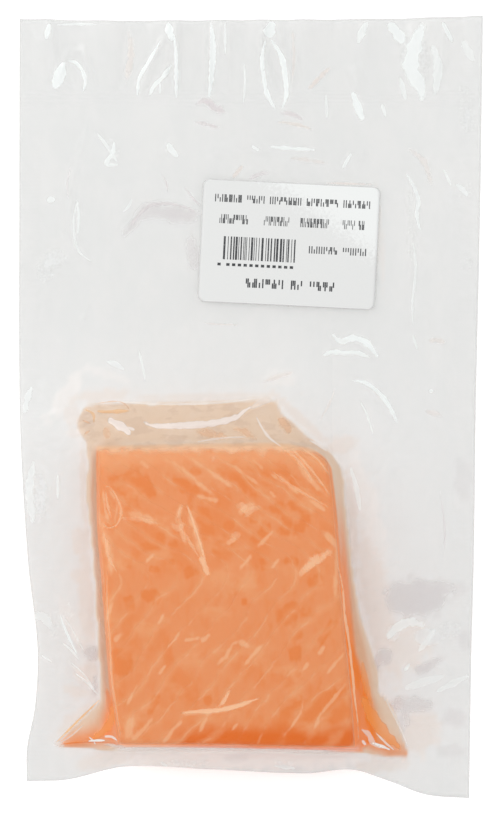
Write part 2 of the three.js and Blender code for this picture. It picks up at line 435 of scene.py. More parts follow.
# ---- creases of the film, painted shade and highlight patches, marks in the flesh -----------------


@dataclass(frozen=True)
class Trace:
    """A soft line along a path: a ridge or valley of the film, or a mark in the flesh."""

    path: tuple[Point, ...]
    width: float
    amount: float

    def profile(self, x: Array, y: Array) -> Array:
        """1 on the path, falling off as a bell curve, and thinning out towards both ends.

        Args:
            x: Places across.
            y: Places along.

        Returns:
            The bell curve of the distance to the nearest leg, tapered by the place along the path.
        """
        legs = list(zip(self.path, self.path[1:]))
        best = np.full(np.broadcast(x, y).shape, 1e9)
        place = np.zeros(best.shape)
        for i, (a, b) in enumerate(legs):
            far, t = segment_distance(x, y, a, b)
            nearer = far < best
            place = np.where(nearer, (i + t) / len(legs), place)
            best = np.where(nearer, far, best)
        return bell(best, self.width) * np.clip(4 * place + 0.25, 0, 1) * np.clip(4.25 - 4 * place, 0, 1)


@dataclass(frozen=True)
class PaintedLightPatch:
    """An oval patch of painted light on the film, used for painted shade and for painted highlights."""

    at: Point
    size: Point
    turn: float
    amount: float

    def mask(self, x: Array, y: Array) -> Array:
        """The amount inside the oval, whose radius wanders a little, and 0 beyond it.

        Args:
            x: Places across.
            y: Places along.

        Returns:
            amount * (1 - smoothstep(r, 0.6, 1.25)), where r is 1 on the turned oval.
        """
        c, s = math.cos(math.radians(self.turn)), math.sin(math.radians(self.turn))
        dx, dy = x - self.at[0], y - self.at[1]
        r = np.hypot((c * dx + s * dy) / self.size[0], (c * dy - s * dx) / self.size[1])
        wander = 0.25 * Noise(71, 5.5)(x, y) + 0.12 * Noise(72, 2.6)(x, y)
        return self.amount * (1 - smoothstep(r + wander, 0.6, 1.25))


def creased(rows: tuple[tuple, ...]) -> tuple[Trace, ...]:
    """Creases from rows of a width, a height and then the path's points."""
    return tuple(Trace(tuple(path), width, height) for width, height, *path in rows)


def traced(rows: tuple[tuple, ...]) -> tuple[Trace, ...]:
    """Flesh marks of full amount from rows of a width and then the path's points."""
    return tuple(Trace(tuple(path), width, 1.0) for width, *path in rows)


def ovals(rows: tuple[tuple[float, ...], ...]) -> tuple[PaintedLightPatch, ...]:
    """Painted light patches from rows of their place, long and short radius, turn in degrees and amount."""
    return tuple(PaintedLightPatch((x, y), (long, short), turn, amount) for x, y, long, short, turn, amount in rows)


FLANGE_CREASES = creased((
    (2.4, -0.7, (-42.1, 56.6), (-36.5, 63.8), (-29.6, 64.5), (-17.4, 62.8)),
    (1.1, 0.45, (-53, 94.4), (-58.9, 74.7), (-60.2, 58.2), (-57.9, 51.6), (-53, 47.7)),
    (0.9, 0.4, (-53, 33.2), (-56.6, 26.3)), (1.2, 0.6, (25.7, 25), (33.9, 21.4), (42.1, 16.1)),
    (1, 0.4, (23.7, 17.4), (35.2, 18.1)), (1.2, 0.7, (34.9, 8.2), (41.4, 5.6), (45.7, -1), (48.4, -5.3)),
    (1.3, 0.5, (51.6, 77), (53.9, 63.2), (52.6, 51.6), (52.6, 37.8)),
    (0.9, 0.6, (-62.8, -67.8), (-58.6, -75.7), (-55.3, -81.6)),
    (1, 0.5, (-66, -84), (-61.2, -87.5), (-52, -93.1)), (1.1, 0.5, (-64, -98), (-57, -97.5), (-51, -99)),
    (1.6, 0.6, (66, -88), (60, -84), (52, -83)), (1.4, 0.6, (64, -108), (58, -104), (52, -103)),
    (1.8, 0.5, (47, -16), (43, -26), (41, -40), (44, -58)), (1.2, 0.3, (-68, 8), (-62, 1), (-58, -1)),
    (1.2, 0.3, (-64, -26), (-62, -14), (-58, -7)), (2.6, 0.4, (60, 66), (63, 30), (61, -10)),
    (1.4, 0.35, (-16, 84), (-6, 84.5), (8, 83.5)), (1, 0.4, (-30, 82), (-26, 87)),
    (1, 0.4, (38, 86), (36, 81)), (1, 0.4, (-12, -114.5), (14, -115), (34, -114.5))))

LIP_CREASES = creased((
    (1.4, 0.8, (-66, 127), (-64, 110), (-58, 103)),
    (0.9, 0.7, (-63, 108), (-60, 116), (-55, 117), (-51, 106)),
    (1.6, -0.8, (-41, 127), (-42, 112), (-43, 104)), (0.8, 0.9, (-36, 102), (-33, 112), (-27, 124)),
    (0.7, 0.7, (-29, 104), (-27, 114), (-25, 126)), (0.8, 1, (-24, 127), (-24.2, 116), (-24.6, 103)),
    (0.8, 0.9, (-13.5, 127), (-13.8, 114), (-13.5, 103)), (0.9, 0.4, (-7, 126), (-7.4, 112), (-7, 104)),
    (0.9, 0.9, (5.5, 127), (3.5, 120), (5, 112), (9, 104)), (0.9, 0.8, (9, 127), (10.5, 118), (13, 106)),
    (1.2, -0.6, (15, 126), (15, 115), (15.4, 104)), (2, 0.7, (33, 112), (36, 104)),
    (2.2, 0.9, (52, 126), (55, 117), (57, 107)), (1.6, 0.6, (63, 124), (62, 114), (59, 104))))

BLOCK_CREASES = creased((
    (0.55, 0.3, (-21.7, -31.7), (-24.4, -36.6), (-21.2, -43.8), (-14.8, -54)),
    (0.5, 0.3, (-21.2, -31.7), (-17.9, -39.4), (-15.2, -53)), (1, 0.3, (-15.4, -51), (-14.6, -56)),
    (0.5, 0.3, (-49.1, -39.4), (-48, -34.9), (-48.7, -27.3), (-47, -26.3), (-44.7, -29.6),
     (-43.1, -33.9), (-43.8, -37.2), (-47.4, -36.2)), (0.6, 0.3, (-47.5, -40), (-45, -50), (-46, -58)),
    (0.6, 0.3, (-24.4, -100.7), (-14.6, -99.9), (-8, -99), (0.7, -96.9), (3, -95.7)),
    (0.6, 0.25, (-9.6, -98), (-6.3, -93.1)), (0.9, 0.3, (16.1, -54.6), (23.8, -50.9), (27, -48)),
    (1.3, 0.25, (-4.5, -34), (-1.5, -35.2)), (0.6, 0.35, (0.7, -3.6), (3.6, -9.2), (9.5, -14.8)),
    (0.6, 0.35, (10.5, -13.5), (18.4, -19.7), (25.3, -28.3)),
    (0.6, 0.3, (14, -14), (21, -19.5), (28.5, -24)), (0.6, 0.3, (7.2, -23), (16.1, -27.3), (27, -33.2)),
    (0.45, 0.2, (31.6, -64), (32.6, -78), (33.8, -92), (34, -106)),
    (0.45, 0.2, (-46.5, -56), (-45.2, -80), (-43.4, -102), (-42, -108))))

TENT_CREASES = creased((
    (1, 1, (-35.5, -5.3), (-23.4, -5.9), (-12.5, -5.6), (-4.6, -3.6), (2, 0.2), (6, 0.6)),
    (1.2, 0.9, (-48, -4.3), (-42.1, -6.6), (-38.8, -9.2)),
    (0.7, 0.8, (-57.2, -6.4), (-52, -4), (-46, -4.6)), (0.7, 0.8, (-57, -1.4), (-50, -1.5), (-38, -1)),
    (0.6, 0.7, (-57, -11), (-53.5, -9.8), (-50, -10.5)),
    (0.6, 0.6, (12, 2), (16.5, -3), (22, -9), (30, -16)), (0.6, 0.5, (4, -1), (8, -6), (13.5, -10.5)),
    (0.7, 0.7, (-57, -113.4), (-50, -111.6), (-43, -110.8)),
    (0.7, 0.8, (38, -111.5), (44, -113.6), (50, -115.4)),
    (0.6, 0.7, (36.5, -108), (41, -110), (46.5, -114.6)),
    (0.5, 0.5, (44.5, -99), (47.5, -105.5), (51.5, -114))))

FAT_LINES = traced((
    (0.7, (-21, -15.5), (-15, -19.5), (-10, -23), (-3, -28)),
    (0.9, (-28, -16.5), (-22, -20), (-17, -24.5), (-10, -30)), (0.7, (-36, -17), (-33, -20)),
    (0.6, (-11, -17), (-5, -19.5), (-1, -22.5), (4, -26)), (0.6, (6, -21.5), (10, -24), (16, -28.5)),
    (0.6, (18, -29.5), (25, -34)), (1, (14, -14), (17, -21), (19, -23.5), (25, -29)),
    (0.5, (0, -16.5), (4, -20)), (0.7, (-18, -28.5), (-10, -30.5)), (1.4, (-40, -34), (-30, -37)),
    (0.7, (6, -27), (8, -29.5)), (1.4, (-5, -34.5), (2, -31)), (0.9, (-8, -44), (-4, -42)),
    (0.7, (8, -39), (2, -45)), (0.8, (0.5, -47), (-4, -52.5)), (0.7, (9, -48.5), (6.5, -52)),
    (1.4, (25, -47), (20, -50), (15, -54)), (0.6, (-31, -47), (-34, -50)),
    (1.1, (23, -40), (28, -45), (27, -62)), (1.4, (-50, -33), (-46, -45), (-45, -55)),
    (0.5, (-48, -26), (-47, -33), (-45.5, -37)), (0.5, (-46, -26), (-43, -31), (-44, -38)),
    (0.9, (-22, -31), (-24, -36), (-22, -41), (-20, -45)),
    (1.4, (-20, -34), (-18, -39), (-17, -44), (-14.5, -52)), (0.7, (-44, -62), (-47, -69), (-46.5, -75)),
    (0.9, (-41, -72), (-44, -75.5)), (0.5, (-28, -66.5), (-30, -70)),
    (0.5, (-22.5, -71.5), (-24, -74), (-27, -77.5)), (0.7, (-22, -75), (-16, -74)),
    (0.7, (-13, -72.5), (-16, -75.5)), (0.7, (-4, -75), (-6, -76), (-8, -80), (-11, -82.5)),
    (0.9, (-4, -75), (0, -77)), (0.7, (4.5, -75.5), (0, -80), (-3, -84)), (0.7, (18.5, -82), (16, -85)),
    (0.7, (24, -76.5), (21.5, -79.5)), (0.6, (30, -79), (26, -83.5), (23.5, -86.5)),
    (0.5, (-36, -88), (-38, -92), (-40, -96)), (0.5, (-27, -82.5), (-30, -86)),
    (1.4, (-38.5, -99), (-39.5, -107)), (0.9, (-31, -99), (-34, -103), (-39, -108)),
    (0.7, (-22, -100.5), (-25, -103.5), (-29, -109)), (0.7, (-14, -99), (-17, -105)),
    (0.7, (-7, -91), (-10, -96)), (0.9, (-24, -98.5), (-13, -98), (-5, -96), (1, -94.5)),
    (0.5, (-4, -101), (-6.5, -104)), (0.7, (31, -88), (27, -93), (22, -99), (20, -104)),
    (0.5, (17, -93), (16, -98), (12, -104)), (0.5, (5, -85), (4.5, -88))))

DEEP_MUSCLE = traced((
    (2.3, (-46, -22), (-40, -27), (-37, -30.5)), (4.5, (-42, -21), (-34, -27)),
    (1.3, (-34, -24), (-31, -29)), (2.3, (-25, -23), (-17, -28)), (1.3, (-20, -20), (-16, -22)),
    (2.6, (-13, -18), (-5, -22), (2, -29)), (1.6, (-7, -17.5), (2, -20), (6, -23)),
    (2, (4, -17.5), (12, -21), (15, -26), (17, -29)), (3.2, (-18, -32), (-14, -37), (-14, -43)),
    (1.3, (-9, -42), (-12, -47)), (2, (-9, -38), (-5, -38)),
    (2, (4, -33), (9, -32.5), (12, -37), (9.5, -43)), (1.6, (-0.5, -36), (2.5, -36)),
    (2, (0, -43.5), (7, -37.5)), (1.3, (12, -30), (15, -33)), (2, (17, -31), (18, -36), (14, -41.5)),
    (2, (-28, -40), (-30, -44.5), (-37, -45.5)), (2, (-27, -44), (-23, -44)),
    (2.6, (-21, -51), (-19, -55)), (1, (-28, -50), (-24, -50)), (1, (-33, -52), (-29, -52)),
    (1.3, (10, -49), (16, -50)), (1, (3.5, -48), (4, -53)), (2, (23, -54), (17, -57.5)),
    (2, (-5.5, -57), (-2.5, -59)), (2, (-36, -60), (-29, -60.5)), (1.6, (-42, -50), (-38, -50)),
    (1, (-46.5, -38), (-43.5, -39)), (1.6, (23, -24), (23, -26.5)),
    (3.2, (12, -62), (13, -66), (8, -69)), (1.6, (28, -68), (21, -76)), (1, (12, -75.5), (17, -72.5)),
    (2.6, (11.5, -79.5), (16.5, -79.5)), (1.6, (17.5, -66), (20.5, -67)),
    (1.3, (15, -84.5), (15, -86.5)), (1.3, (-3, -62.5), (-1, -62.5)), (7.8, (25, -90), (28, -102)),
    (6.5, (13, -95), (17, -103)), (1.3, (-30, -92), (-33, -99)), (2, (-15.5, -94), (-12.5, -94)),
    (3.2, (-41.5, -77), (-41.5, -87)), (2, (-39, -60), (-39, -66)), (2, (-31, -61.5), (-29, -62.5))))


def summed(traces: tuple[Trace, ...], x: Array, y: Array) -> Array:
    """Sum of several traces, each times its amount."""
    return sum(trace.amount * trace.profile(x, y) for trace in traces)


# ---- meshes -------------------------------------------------------------------------------------


def stations(*counts: int) -> Array:
    """Line positions from 0 to 1: counts[i] even steps within each of the equal spans of a patch.

    Args:
        counts: Steps in each span.

    Returns:
        The positions, both ends included.
    """
    at = [0.0]
    for i, n in enumerate(counts):
        at.extend((i + (k + 1) / n) / len(counts) for k in range(n))
    return np.array(at)


def along(chain: list[Array], t: Array) -> Array:
    """Values along a chain of arrays that are evenly spaced and joined straight.

    Args:
        chain: The arrays.
        t: Places along the chain, from 0 to 1.

    Returns:
        The values.
    """
    stack = np.stack(np.broadcast_arrays(*chain))
    t = np.broadcast_to(t, stack.shape[1:]) * (len(chain) - 1)
    i = np.minimum(t.astype(int), len(chain) - 2)
    low = np.take_along_axis(stack, i[None], 0)[0]
    high = np.take_along_axis(stack, i[None] + 1, 0)[0]
    return mixed(low, high, t - i)


@dataclass(frozen=True)
class Patch:
    """A four-sided grid in plan whose column and row lines follow the piece's own curves."""

    columns: Callable[[Array], list[Array]]
    rows: Callable[[Array], list[Array]]
    us: Array
    vs: Array

    def plan(self) -> tuple[Array, Array]:
        """Plan positions of the grid, by repeated use of x = columns(y) and y = rows(x).

        Returns:
            The x and y arrays, one row of the grid to each row of the array.
        """
        u, v = self.us[None, :], self.vs[:, None]
        x = np.zeros((len(self.vs), len(self.us)))
        y = np.zeros(x.shape)
        for _ in range(7):
            x = along(self.columns(y), u)
            y = along(self.rows(x), v)
        return x, y


def quad_grid(rows: int, columns: int) -> Array:
    """Vertex numbers of the quads of a grid, anticlockwise seen from above."""
    a = (np.arange(rows - 1)[:, None] * columns + np.arange(columns - 1)[None, :]).ravel()
    return np.stack([a, a + 1, a + 1 + columns, a + columns], 1)


def rim_of(rows: int, columns: int) -> Array:
    """Vertex numbers round the edge of a grid, anticlockwise seen from above.

    Args:
        rows: Rows of vertices.
        columns: Columns of vertices.

    Returns:
        The vertex numbers, each once.
    """
    bottom = np.arange(columns - 1)
    right = np.arange(rows - 1) * columns + columns - 1
    top = (rows - 1) * columns + np.arange(columns - 1, 0, -1)
    left = np.arange(rows - 1, 0, -1) * columns
    return np.concatenate([bottom, right, top, left])


def mesh_object(name: str, points: Array, quads: Array, materials: list[Material],
                face_material: Array | None = None) -> Piece:
    """A smooth-shaded mesh object at the origin, from whole arrays.

    Args:
        name: The piece's name.
        points: Vertex places in millimetres, one a row.
        quads: Four vertex numbers a row.
        materials: The piece's materials.
        face_material: Which material each quad has; the first one if left out.

    Returns:
        The new object, linked to the scene.
    """
    mesh = bpy.data.meshes.new(name)
    mesh.vertices.add(len(points))
    mesh.vertices.foreach_set("co", (points * MM).astype(np.float32).ravel())
    mesh.loops.add(quads.size)
    mesh.loops.foreach_set("vertex_index", quads.astype(np.int32).ravel())
    mesh.polygons.add(len(quads))
    mesh.polygons.foreach_set("loop_start", np.arange(0, quads.size, 4, dtype=np.int32))
    mesh.polygons.foreach_set("use_smooth", np.ones(len(quads), bool))
    if face_material is not None:
        mesh.polygons.foreach_set("material_index", face_material.astype(np.int32))
    for material in materials:
        mesh.materials.append(material)
    mesh.update(calc_edges=True)
    mesh.validate()
    piece = bpy.data.objects.new(name, mesh)
    bpy.context.scene.collection.objects.link(piece)
    return piece


def closed_slab(x: Array, y: Array, top: Array, bottom: Array) -> tuple[Array, Array, int]:
    """Points and quads of a closed body between two height fields over one plan grid.

    Args:
        x: Places across.
        y: Places along.
        top: Upper heights.
        bottom: Lower heights.

    Returns:
        The points, the quads (upper face, lower face, then the wall), and the quads in one face.
    """
    rows, columns = x.shape
    layer = x.size
    points = np.concatenate([np.stack([x, y, z], -1).reshape(-1, 3) for z in (top, bottom)])
    upper = quad_grid(rows, columns)
    rim = rim_of(rows, columns)
    after = np.roll(rim, -1)
    wall = np.stack([rim, rim + layer, after + layer, after], 1)
    return points, np.concatenate([upper, upper[:, ::-1] + layer, wall]), len(upper)


def store(piece: Piece, name: str, values: Array) -> None:
    """Writes a number to each vertex, or a colour with four numbers a row, as a named attribute."""
    kind, part = ("FLOAT", "value") if values.ndim == 1 else ("FLOAT_COLOR", "color")
    piece.data.attributes.new(name, kind, "POINT").data.foreach_set(part, values.astype(np.float32).ravel())


def adopted(piece: Piece, slot: str, *nodes: str) -> Piece:
    """Joins a finished piece to the pack.

    Args:
        piece: The piece.
        slot: Its material slot; not used.
        nodes: The nodes that it stands for.

    Returns:
        The piece.
    """
    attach(piece, "root")
    if nodes:
        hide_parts(*nodes)
    LOG.info("%s: %d faces", piece.name, len(piece.data.polygons))
    return piece


# ---- colours and shader nodes -------------------------------------------------------------------


def linear(red: float, green: float, blue: float) -> tuple[float, float, float, float]:
    """Screen colour in 0..255 as scene-linear RGBA, by the sRGB curve."""
    steps = [c / 255 for c in (red, green, blue)]
    return (*[c / 12.92 if c <= 0.04045 else ((c + 0.055) / 1.055) ** 2.4 for c in steps], 1.0)


class Shade(Enum):
    """Colours of the pack, in screen values."""

    FILM = (192, 193, 191)
    # Painted highlight colour of the film's pale patches.
    SHINE = (222, 224, 224)
    # Painted shade of the flange, in patches.
    BLUSH_STAIN = (211, 207, 203)
    ROSE_STAIN = (204, 193, 184)
    LILAC_STAIN = (178, 173, 173)
    MAUVE_STAIN = (186, 172, 168)
    # Painted light: HALO is a warm halo round the tents, and NEAR lifts the film near the portion and towards
    # the right.
    HALO = (224, 217, 212)
    NEAR = (212, 212, 211)
    BEIGE = (208, 180, 153)
    TAN = (212, 164, 126)
    MURK = (186, 156, 132)
    # The portion's orange side seen through the film, darkened by painted shade.
    JUICE = (224, 112, 4)
    # Painted highlight on the film over the portion.
    SHEEN = (236, 192, 154)
    FLESH = (221, 140, 90)
    FLESH_LIGHT = (224, 158, 112)
    FLESH_DEEP = (219, 120, 54)
    # Painted shade, low at the portion's back.
    FLESH_DARK = (214, 98, 8)
    FAT = (231, 182, 142)
    BELLY = (222, 184, 150)
    SKIN_DARK = (84, 92, 98)
    SKIN_SILVER = (188, 193, 194)
    PAPER = (216, 217, 216)
    # Painted highlight at the label's upper right corner.
    PAPER_SHINE = (226, 228, 227)
    INK = (44, 46, 50)
    TABLE = (250, 250, 250)
    # Painted highlights along folds of the film.
    GLEAM = (229, 233, 232)
    TENT_GLEAM = (226, 214, 207)
    RIM_GLEAM = (232, 224, 218)
    BLOCK_GLEAM = (236, 187, 148)
    # Painted shade in folds and creases of the film and round the tents.
    ROSE = (217, 208, 202)
    LILAC = (206, 199, 200)
    AMBER = (229, 178, 122)
    ORANGE = (230, 138, 58)

    @property
    def rgba(self) -> tuple[float, float, float, float]:
        """Scene-linear RGBA."""
        return linear(*self.value)

    @property
    def row(self) -> Array:
        """Scene-linear RGB as an array."""
        return np.array(self.rgba[:3])


# ---- streaks: painted highlights on folds, thin orange lines, painted shade and sheen -------------


# How far the streaks of a shade break up: painted shade, painted sheen and tan much, painted highlights on
# the portion less, others little.
FRAYING = {Shade.ROSE: 1.6, Shade.LILAC: 1.6, Shade.TAN: 1.6, Shade.SHEEN: 1.6, Shade.BLOCK_GLEAM: 1.1}
LEAST_FRAYING = 0.6


@dataclass(frozen=True)
class Streak:
    """A narrow mark on the upper film: a painted highlight along a fold, a line of orange, shaded orange or
    tan, or a streak of painted shade or painted sheen.
    """

    path: tuple[Point, ...]
    width: float
    strength: float
    shade: Shade

    @property
    def frayed(self) -> float:
        """How far the streak breaks up."""
        return FRAYING.get(self.shade, LEAST_FRAYING)

    def spine(self, spacing: float) -> tuple[Array, Array, Array]:
        """Evenly spaced points on a curve through the path's corners.

        Args:
            spacing: Distance between points.

        Returns:
            The points' x and y, and their place from 0 to 1 along the streak.
        """
        corners = np.array(self.path)
        at = np.concatenate([[0.0], np.cumsum(np.hypot(*np.diff(corners, axis=0).T))])
        place = np.linspace(0, 1, max(int(at[-1] / spacing) + 2, 7))
        x, y = (Curve(tuple(zip(at, side)))(place * at[-1]) for side in corners.T)
        return x, y, place


def streaked(table: dict[Shade, tuple[tuple, ...]]) -> tuple[Streak, ...]:
    """Streaks, by shade, from rows of a width, a strength and then the path's points."""
    return tuple(Streak(tuple(path), width, strength, shade)
                 for shade, rows in table.items() for width, strength, *path in rows)


# Patches of painted shade and painted warm halo on the flange, where the raised film and the portion shade
# it.
PAINTED_SHADE_PATCHES = {
    Shade.HALO: ovals((
        (-3.6, -115, 45.9, 3.6, 0, 1),)),
    Shade.BLUSH_STAIN: ovals((
        (37.7, -33.8, 21.3, 4.6, -74, 0.9), (-58.7, -70.5, 9.2, 2.3, -60, 0.7),
        (-60.6, 3.9, 10.5, 2.9, 55, 0.9), (-46.2, 10.5, 8.2, 1.6, -20, 0.5), (8.8, 9.5, 5.9, 2.9, 0, 0.7),
        (-0.3, -112.4, 6.6, 0.8, -3, 0.9), (25.9, -113.4, 13.1, 1.3, -3, 0.8))),
    Shade.ROSE_STAIN: ovals((
        (55.4, -105.8, 6.9, 7.9, 0, 1), (41.6, -64.9, 24.6, 5.2, -78, 0.9), (50.5, -78, 9.2, 9.2, 0, 0.8),
        (32.8, -37, 18, 2, -86, 0.9), (29.2, -12.5, 6.6, 2.9, 15, 0.9), (43.2, -117, 8.8, 2.9, 5, 0.8),
        (-47.8, -115, 10.5, 3.3, 15, 0.8), (-53.7, -63.2, 16.4, 2.9, -87, 0.9),
        (-56, -55.1, 2.9, 2.9, 0, 0.7), (-53.4, -86.8, 3.6, 4.6, -50, 0.9),
        (-57, -92.7, 4.6, 2, -15, 0.8), (-58, -103.2, 7.9, 2.9, 38, 0.8),
        (-54.4, -27.2, 14.7, 1.5, -88, 0.8), (-55.4, -43.6, 3.3, 4.6, 0, 0.8),
        (-49.5, 3.6, 10.5, 2.3, 5, 0.9), (-58.7, -2.6, 2.9, 4.6, 0, 0.7), (-57.7, -8.5, 2.6, 1.6, 0, 0.6),
        (-16.7, 3.3, 24.6, 1.5, 2, 0.8), (16.1, -3.6, 13.8, 1.6, -43, 0.8), (42.6, 54.7, 18, 1, -86, 0.4))),
    Shade.LILAC_STAIN: ovals((
        (53.7, -62.6, 10.5, 6.6, 0, 1), (62.6, -59.3, 4.6, 2.6, -10, 0.8), (68.5, -60, 3.3, 2.6, 0, 0.4),
        (43.9, -81.3, 2.9, 2.9, 0, 0.8), (58, -84.9, 5.6, 1.6, 28, 1), (52.1, -97.3, 7.9, 2.9, -5, 0.8),
        (49.5, -103.2, 2.3, 5.2, -25, 0.6), (66.8, -101.9, 4.6, 3.3, 0, 0.5),
        (65.9, -113, 5.9, 2.3, 0, 0.4), (70.4, -76.3, 2, 4.6, 0, 0.4), (69.8, -23.9, 2.9, 7.9, 0, 0.35),
        (-4.9, -114.7, 3.9, 2, 0, 0.3), (-52.1, -80.3, 2.6, 2.9, -30, 0.9),
        (-50.8, -90.8, 1, 3.3, 0, 0.8), (-23.9, 63.2, 7.9, 2.5, -3, 1), (-33.8, 64.5, 4.6, 2.6, 25, 0.9),
        (-39, 59.9, 4.6, 1.3, 48, 0.8), (-19.3, 50.8, 6.2, 2, -85, 0.7))),
    Shade.MAUVE_STAIN: ovals((
        (41.3, -83.6, 1.3, 3.3, -10, 0.9), (47.8, -97, 2, 2.6, -35, 0.9), (-50.5, -81.3, 1, 2, -20, 0.9))),
}

# Painted highlights: pale patches on the flange.
PAINTED_HIGHLIGHT_PATCHES = ovals((
    (54, 115, 6, 10, 10, 0.5), (-68, 44, 3.5, 4, 0, 0.5), (-69, -30, 2.5, 9, 0, 0.6),
    (52.6, 60, 1.6, 14, 0, 0.4), (63, -74, 9, 3, 15, 0.5), (-62, -70, 5, 9, -20, 0.35),
    (-46, 85, 3, 4, 30, 0.4), (70, 100, 3, 8, 0, 0.4), (46.5, -74.4, 2.9, 2.9, 0, 0.6),
    (57, -75, 5.2, 2.9, 0, 0.6), (-21.6, -116.3, 8.8, 1.6, 0, 0.5), (11.1, -116.6, 4.3, 2, 0, 0.5),
    (-64.2, 48.8, 4.3, 3.6, 0, 0.6), (70.1, 71.1, 4.6, 2.9, 0, 0.4), (70.4, 47.5, 2.9, 3.9, 0, 0.4),
    (72.4, 94, 2.6, 4.6, 0, 0.4)))

LIP_STREAKS = streaked({
    Shade.GLEAM: (
        (2.4, 0.8, (-66, 126.1), (-66.7, 123.5), (-67.3, 120.5)),
        (0.9, 0.6, (-64, 125.5), (-57.8, 125.8), (-50.3, 125.5)),
        (4.6, 0.85, (-61.4, 113.6), (-62.7, 109.7), (-64.7, 104.4)),
        (1.3, 0.8, (-60.8, 113.6), (-57.8, 113.3), (-55.5, 110.7), (-54.5, 106.7), (-55.2, 103.5)),
        (1.5, 0.85, (-29.6, 120.5), (-33.5, 113.6), (-36.8, 107.7), (-37.4, 101.8)),
        (3.4, 0.8, (-27.3, 126.4), (-26.6, 122.5), (-25.3, 119.9)),
        (1.5, 0.85, (-25.3, 122.5), (-24.6, 114), (-24.6, 101.2)),
        (1.9, 0.8, (-25.9, 112.7), (-28.9, 108.4), (-31.9, 105.4), (-33.5, 102.1)),
        (0.8, 0.6, (-29.9, 106.7), (-29.9, 102.5)),
        (2.3, 0.9, (-13.1, 126.8), (-12.5, 117.9), (-13.1, 107.7), (-13.8, 101.2)),
        (0.9, 0.7, (-8.5, 126.8), (-8.5, 115.6)), (0.7, 0.55, (-2.3, 113.3), (-2, 106.1), (-2.6, 99.5)),
        (4.4, 0.85, (7.2, 126.8), (6.2, 123.8), (5.6, 120.9)),
        (1.9, 0.85, (4.9, 121.2), (3.6, 114.6), (4.3, 107.4), (5.3, 102.8), (8.2, 97.5)),
        (2.1, 0.85, (6.2, 121.2), (9.9, 115.3), (11.2, 108.7), (11.5, 102.1), (9.9, 97.5)),
        (3.4, 0.85, (33.2, 103.8), (34.8, 99.5), (36.8, 93.9)),
        (2.6, 0.6, (38.4, 126.8), (36.5, 123.2), (35.1, 119.2)), (0.9, 0.5, (24.6, 102.8), (25, 94.9)),
        (1.4, 0.6, (43, 99.8), (44.3, 95.2)), (4.4, 0.75, (45, 126.4), (48.3, 122.5), (50.3, 119.2)),
        (6.4, 0.75, (56.8, 126.4), (53.5, 117.9), (52.6, 110.7), (55.5, 105.4), (56.2, 100.2)),
        (3.8, 0.5, (59.5, 119.2), (61.4, 112), (60.4, 102.1)), (1.8, 0.5, (48.9, 108.7), (50.9, 100.8)),
        (1.8, 0.75, (62.7, 126.8), (64.4, 123.2), (66.3, 119.6)),
        (3.2, 0.35, (69.3, 120.5), (73.2, 113.3))),
    Shade.ROSE: (
        (3.6, 0.5, (-40.4, 125.1), (-39.4, 116.6), (-41.4, 105.4)),
        (1.5, 0.4, (13.5, 125.1), (14.1, 115.9), (13.5, 106.1)),
        (2.6, 0.7, (18.7, 104.1), (22, 107.7), (26.3, 112)),
        (1.8, 0.6, (8.5, 93.6), (14.8, 92.9), (20.7, 91))),
    Shade.LILAC: (
        (3.6, 0.75, (-18.7, 98.9), (-15.1, 100.5), (-11.8, 98.2), (-7.2, 96.6)),
        (2, 0.7, (-19.1, 93.6), (-14.8, 92.9), (-9.9, 91.6)),
        (2.6, 0.6, (9.2, 96.6), (13.5, 96.2), (17.4, 94.3))),
})

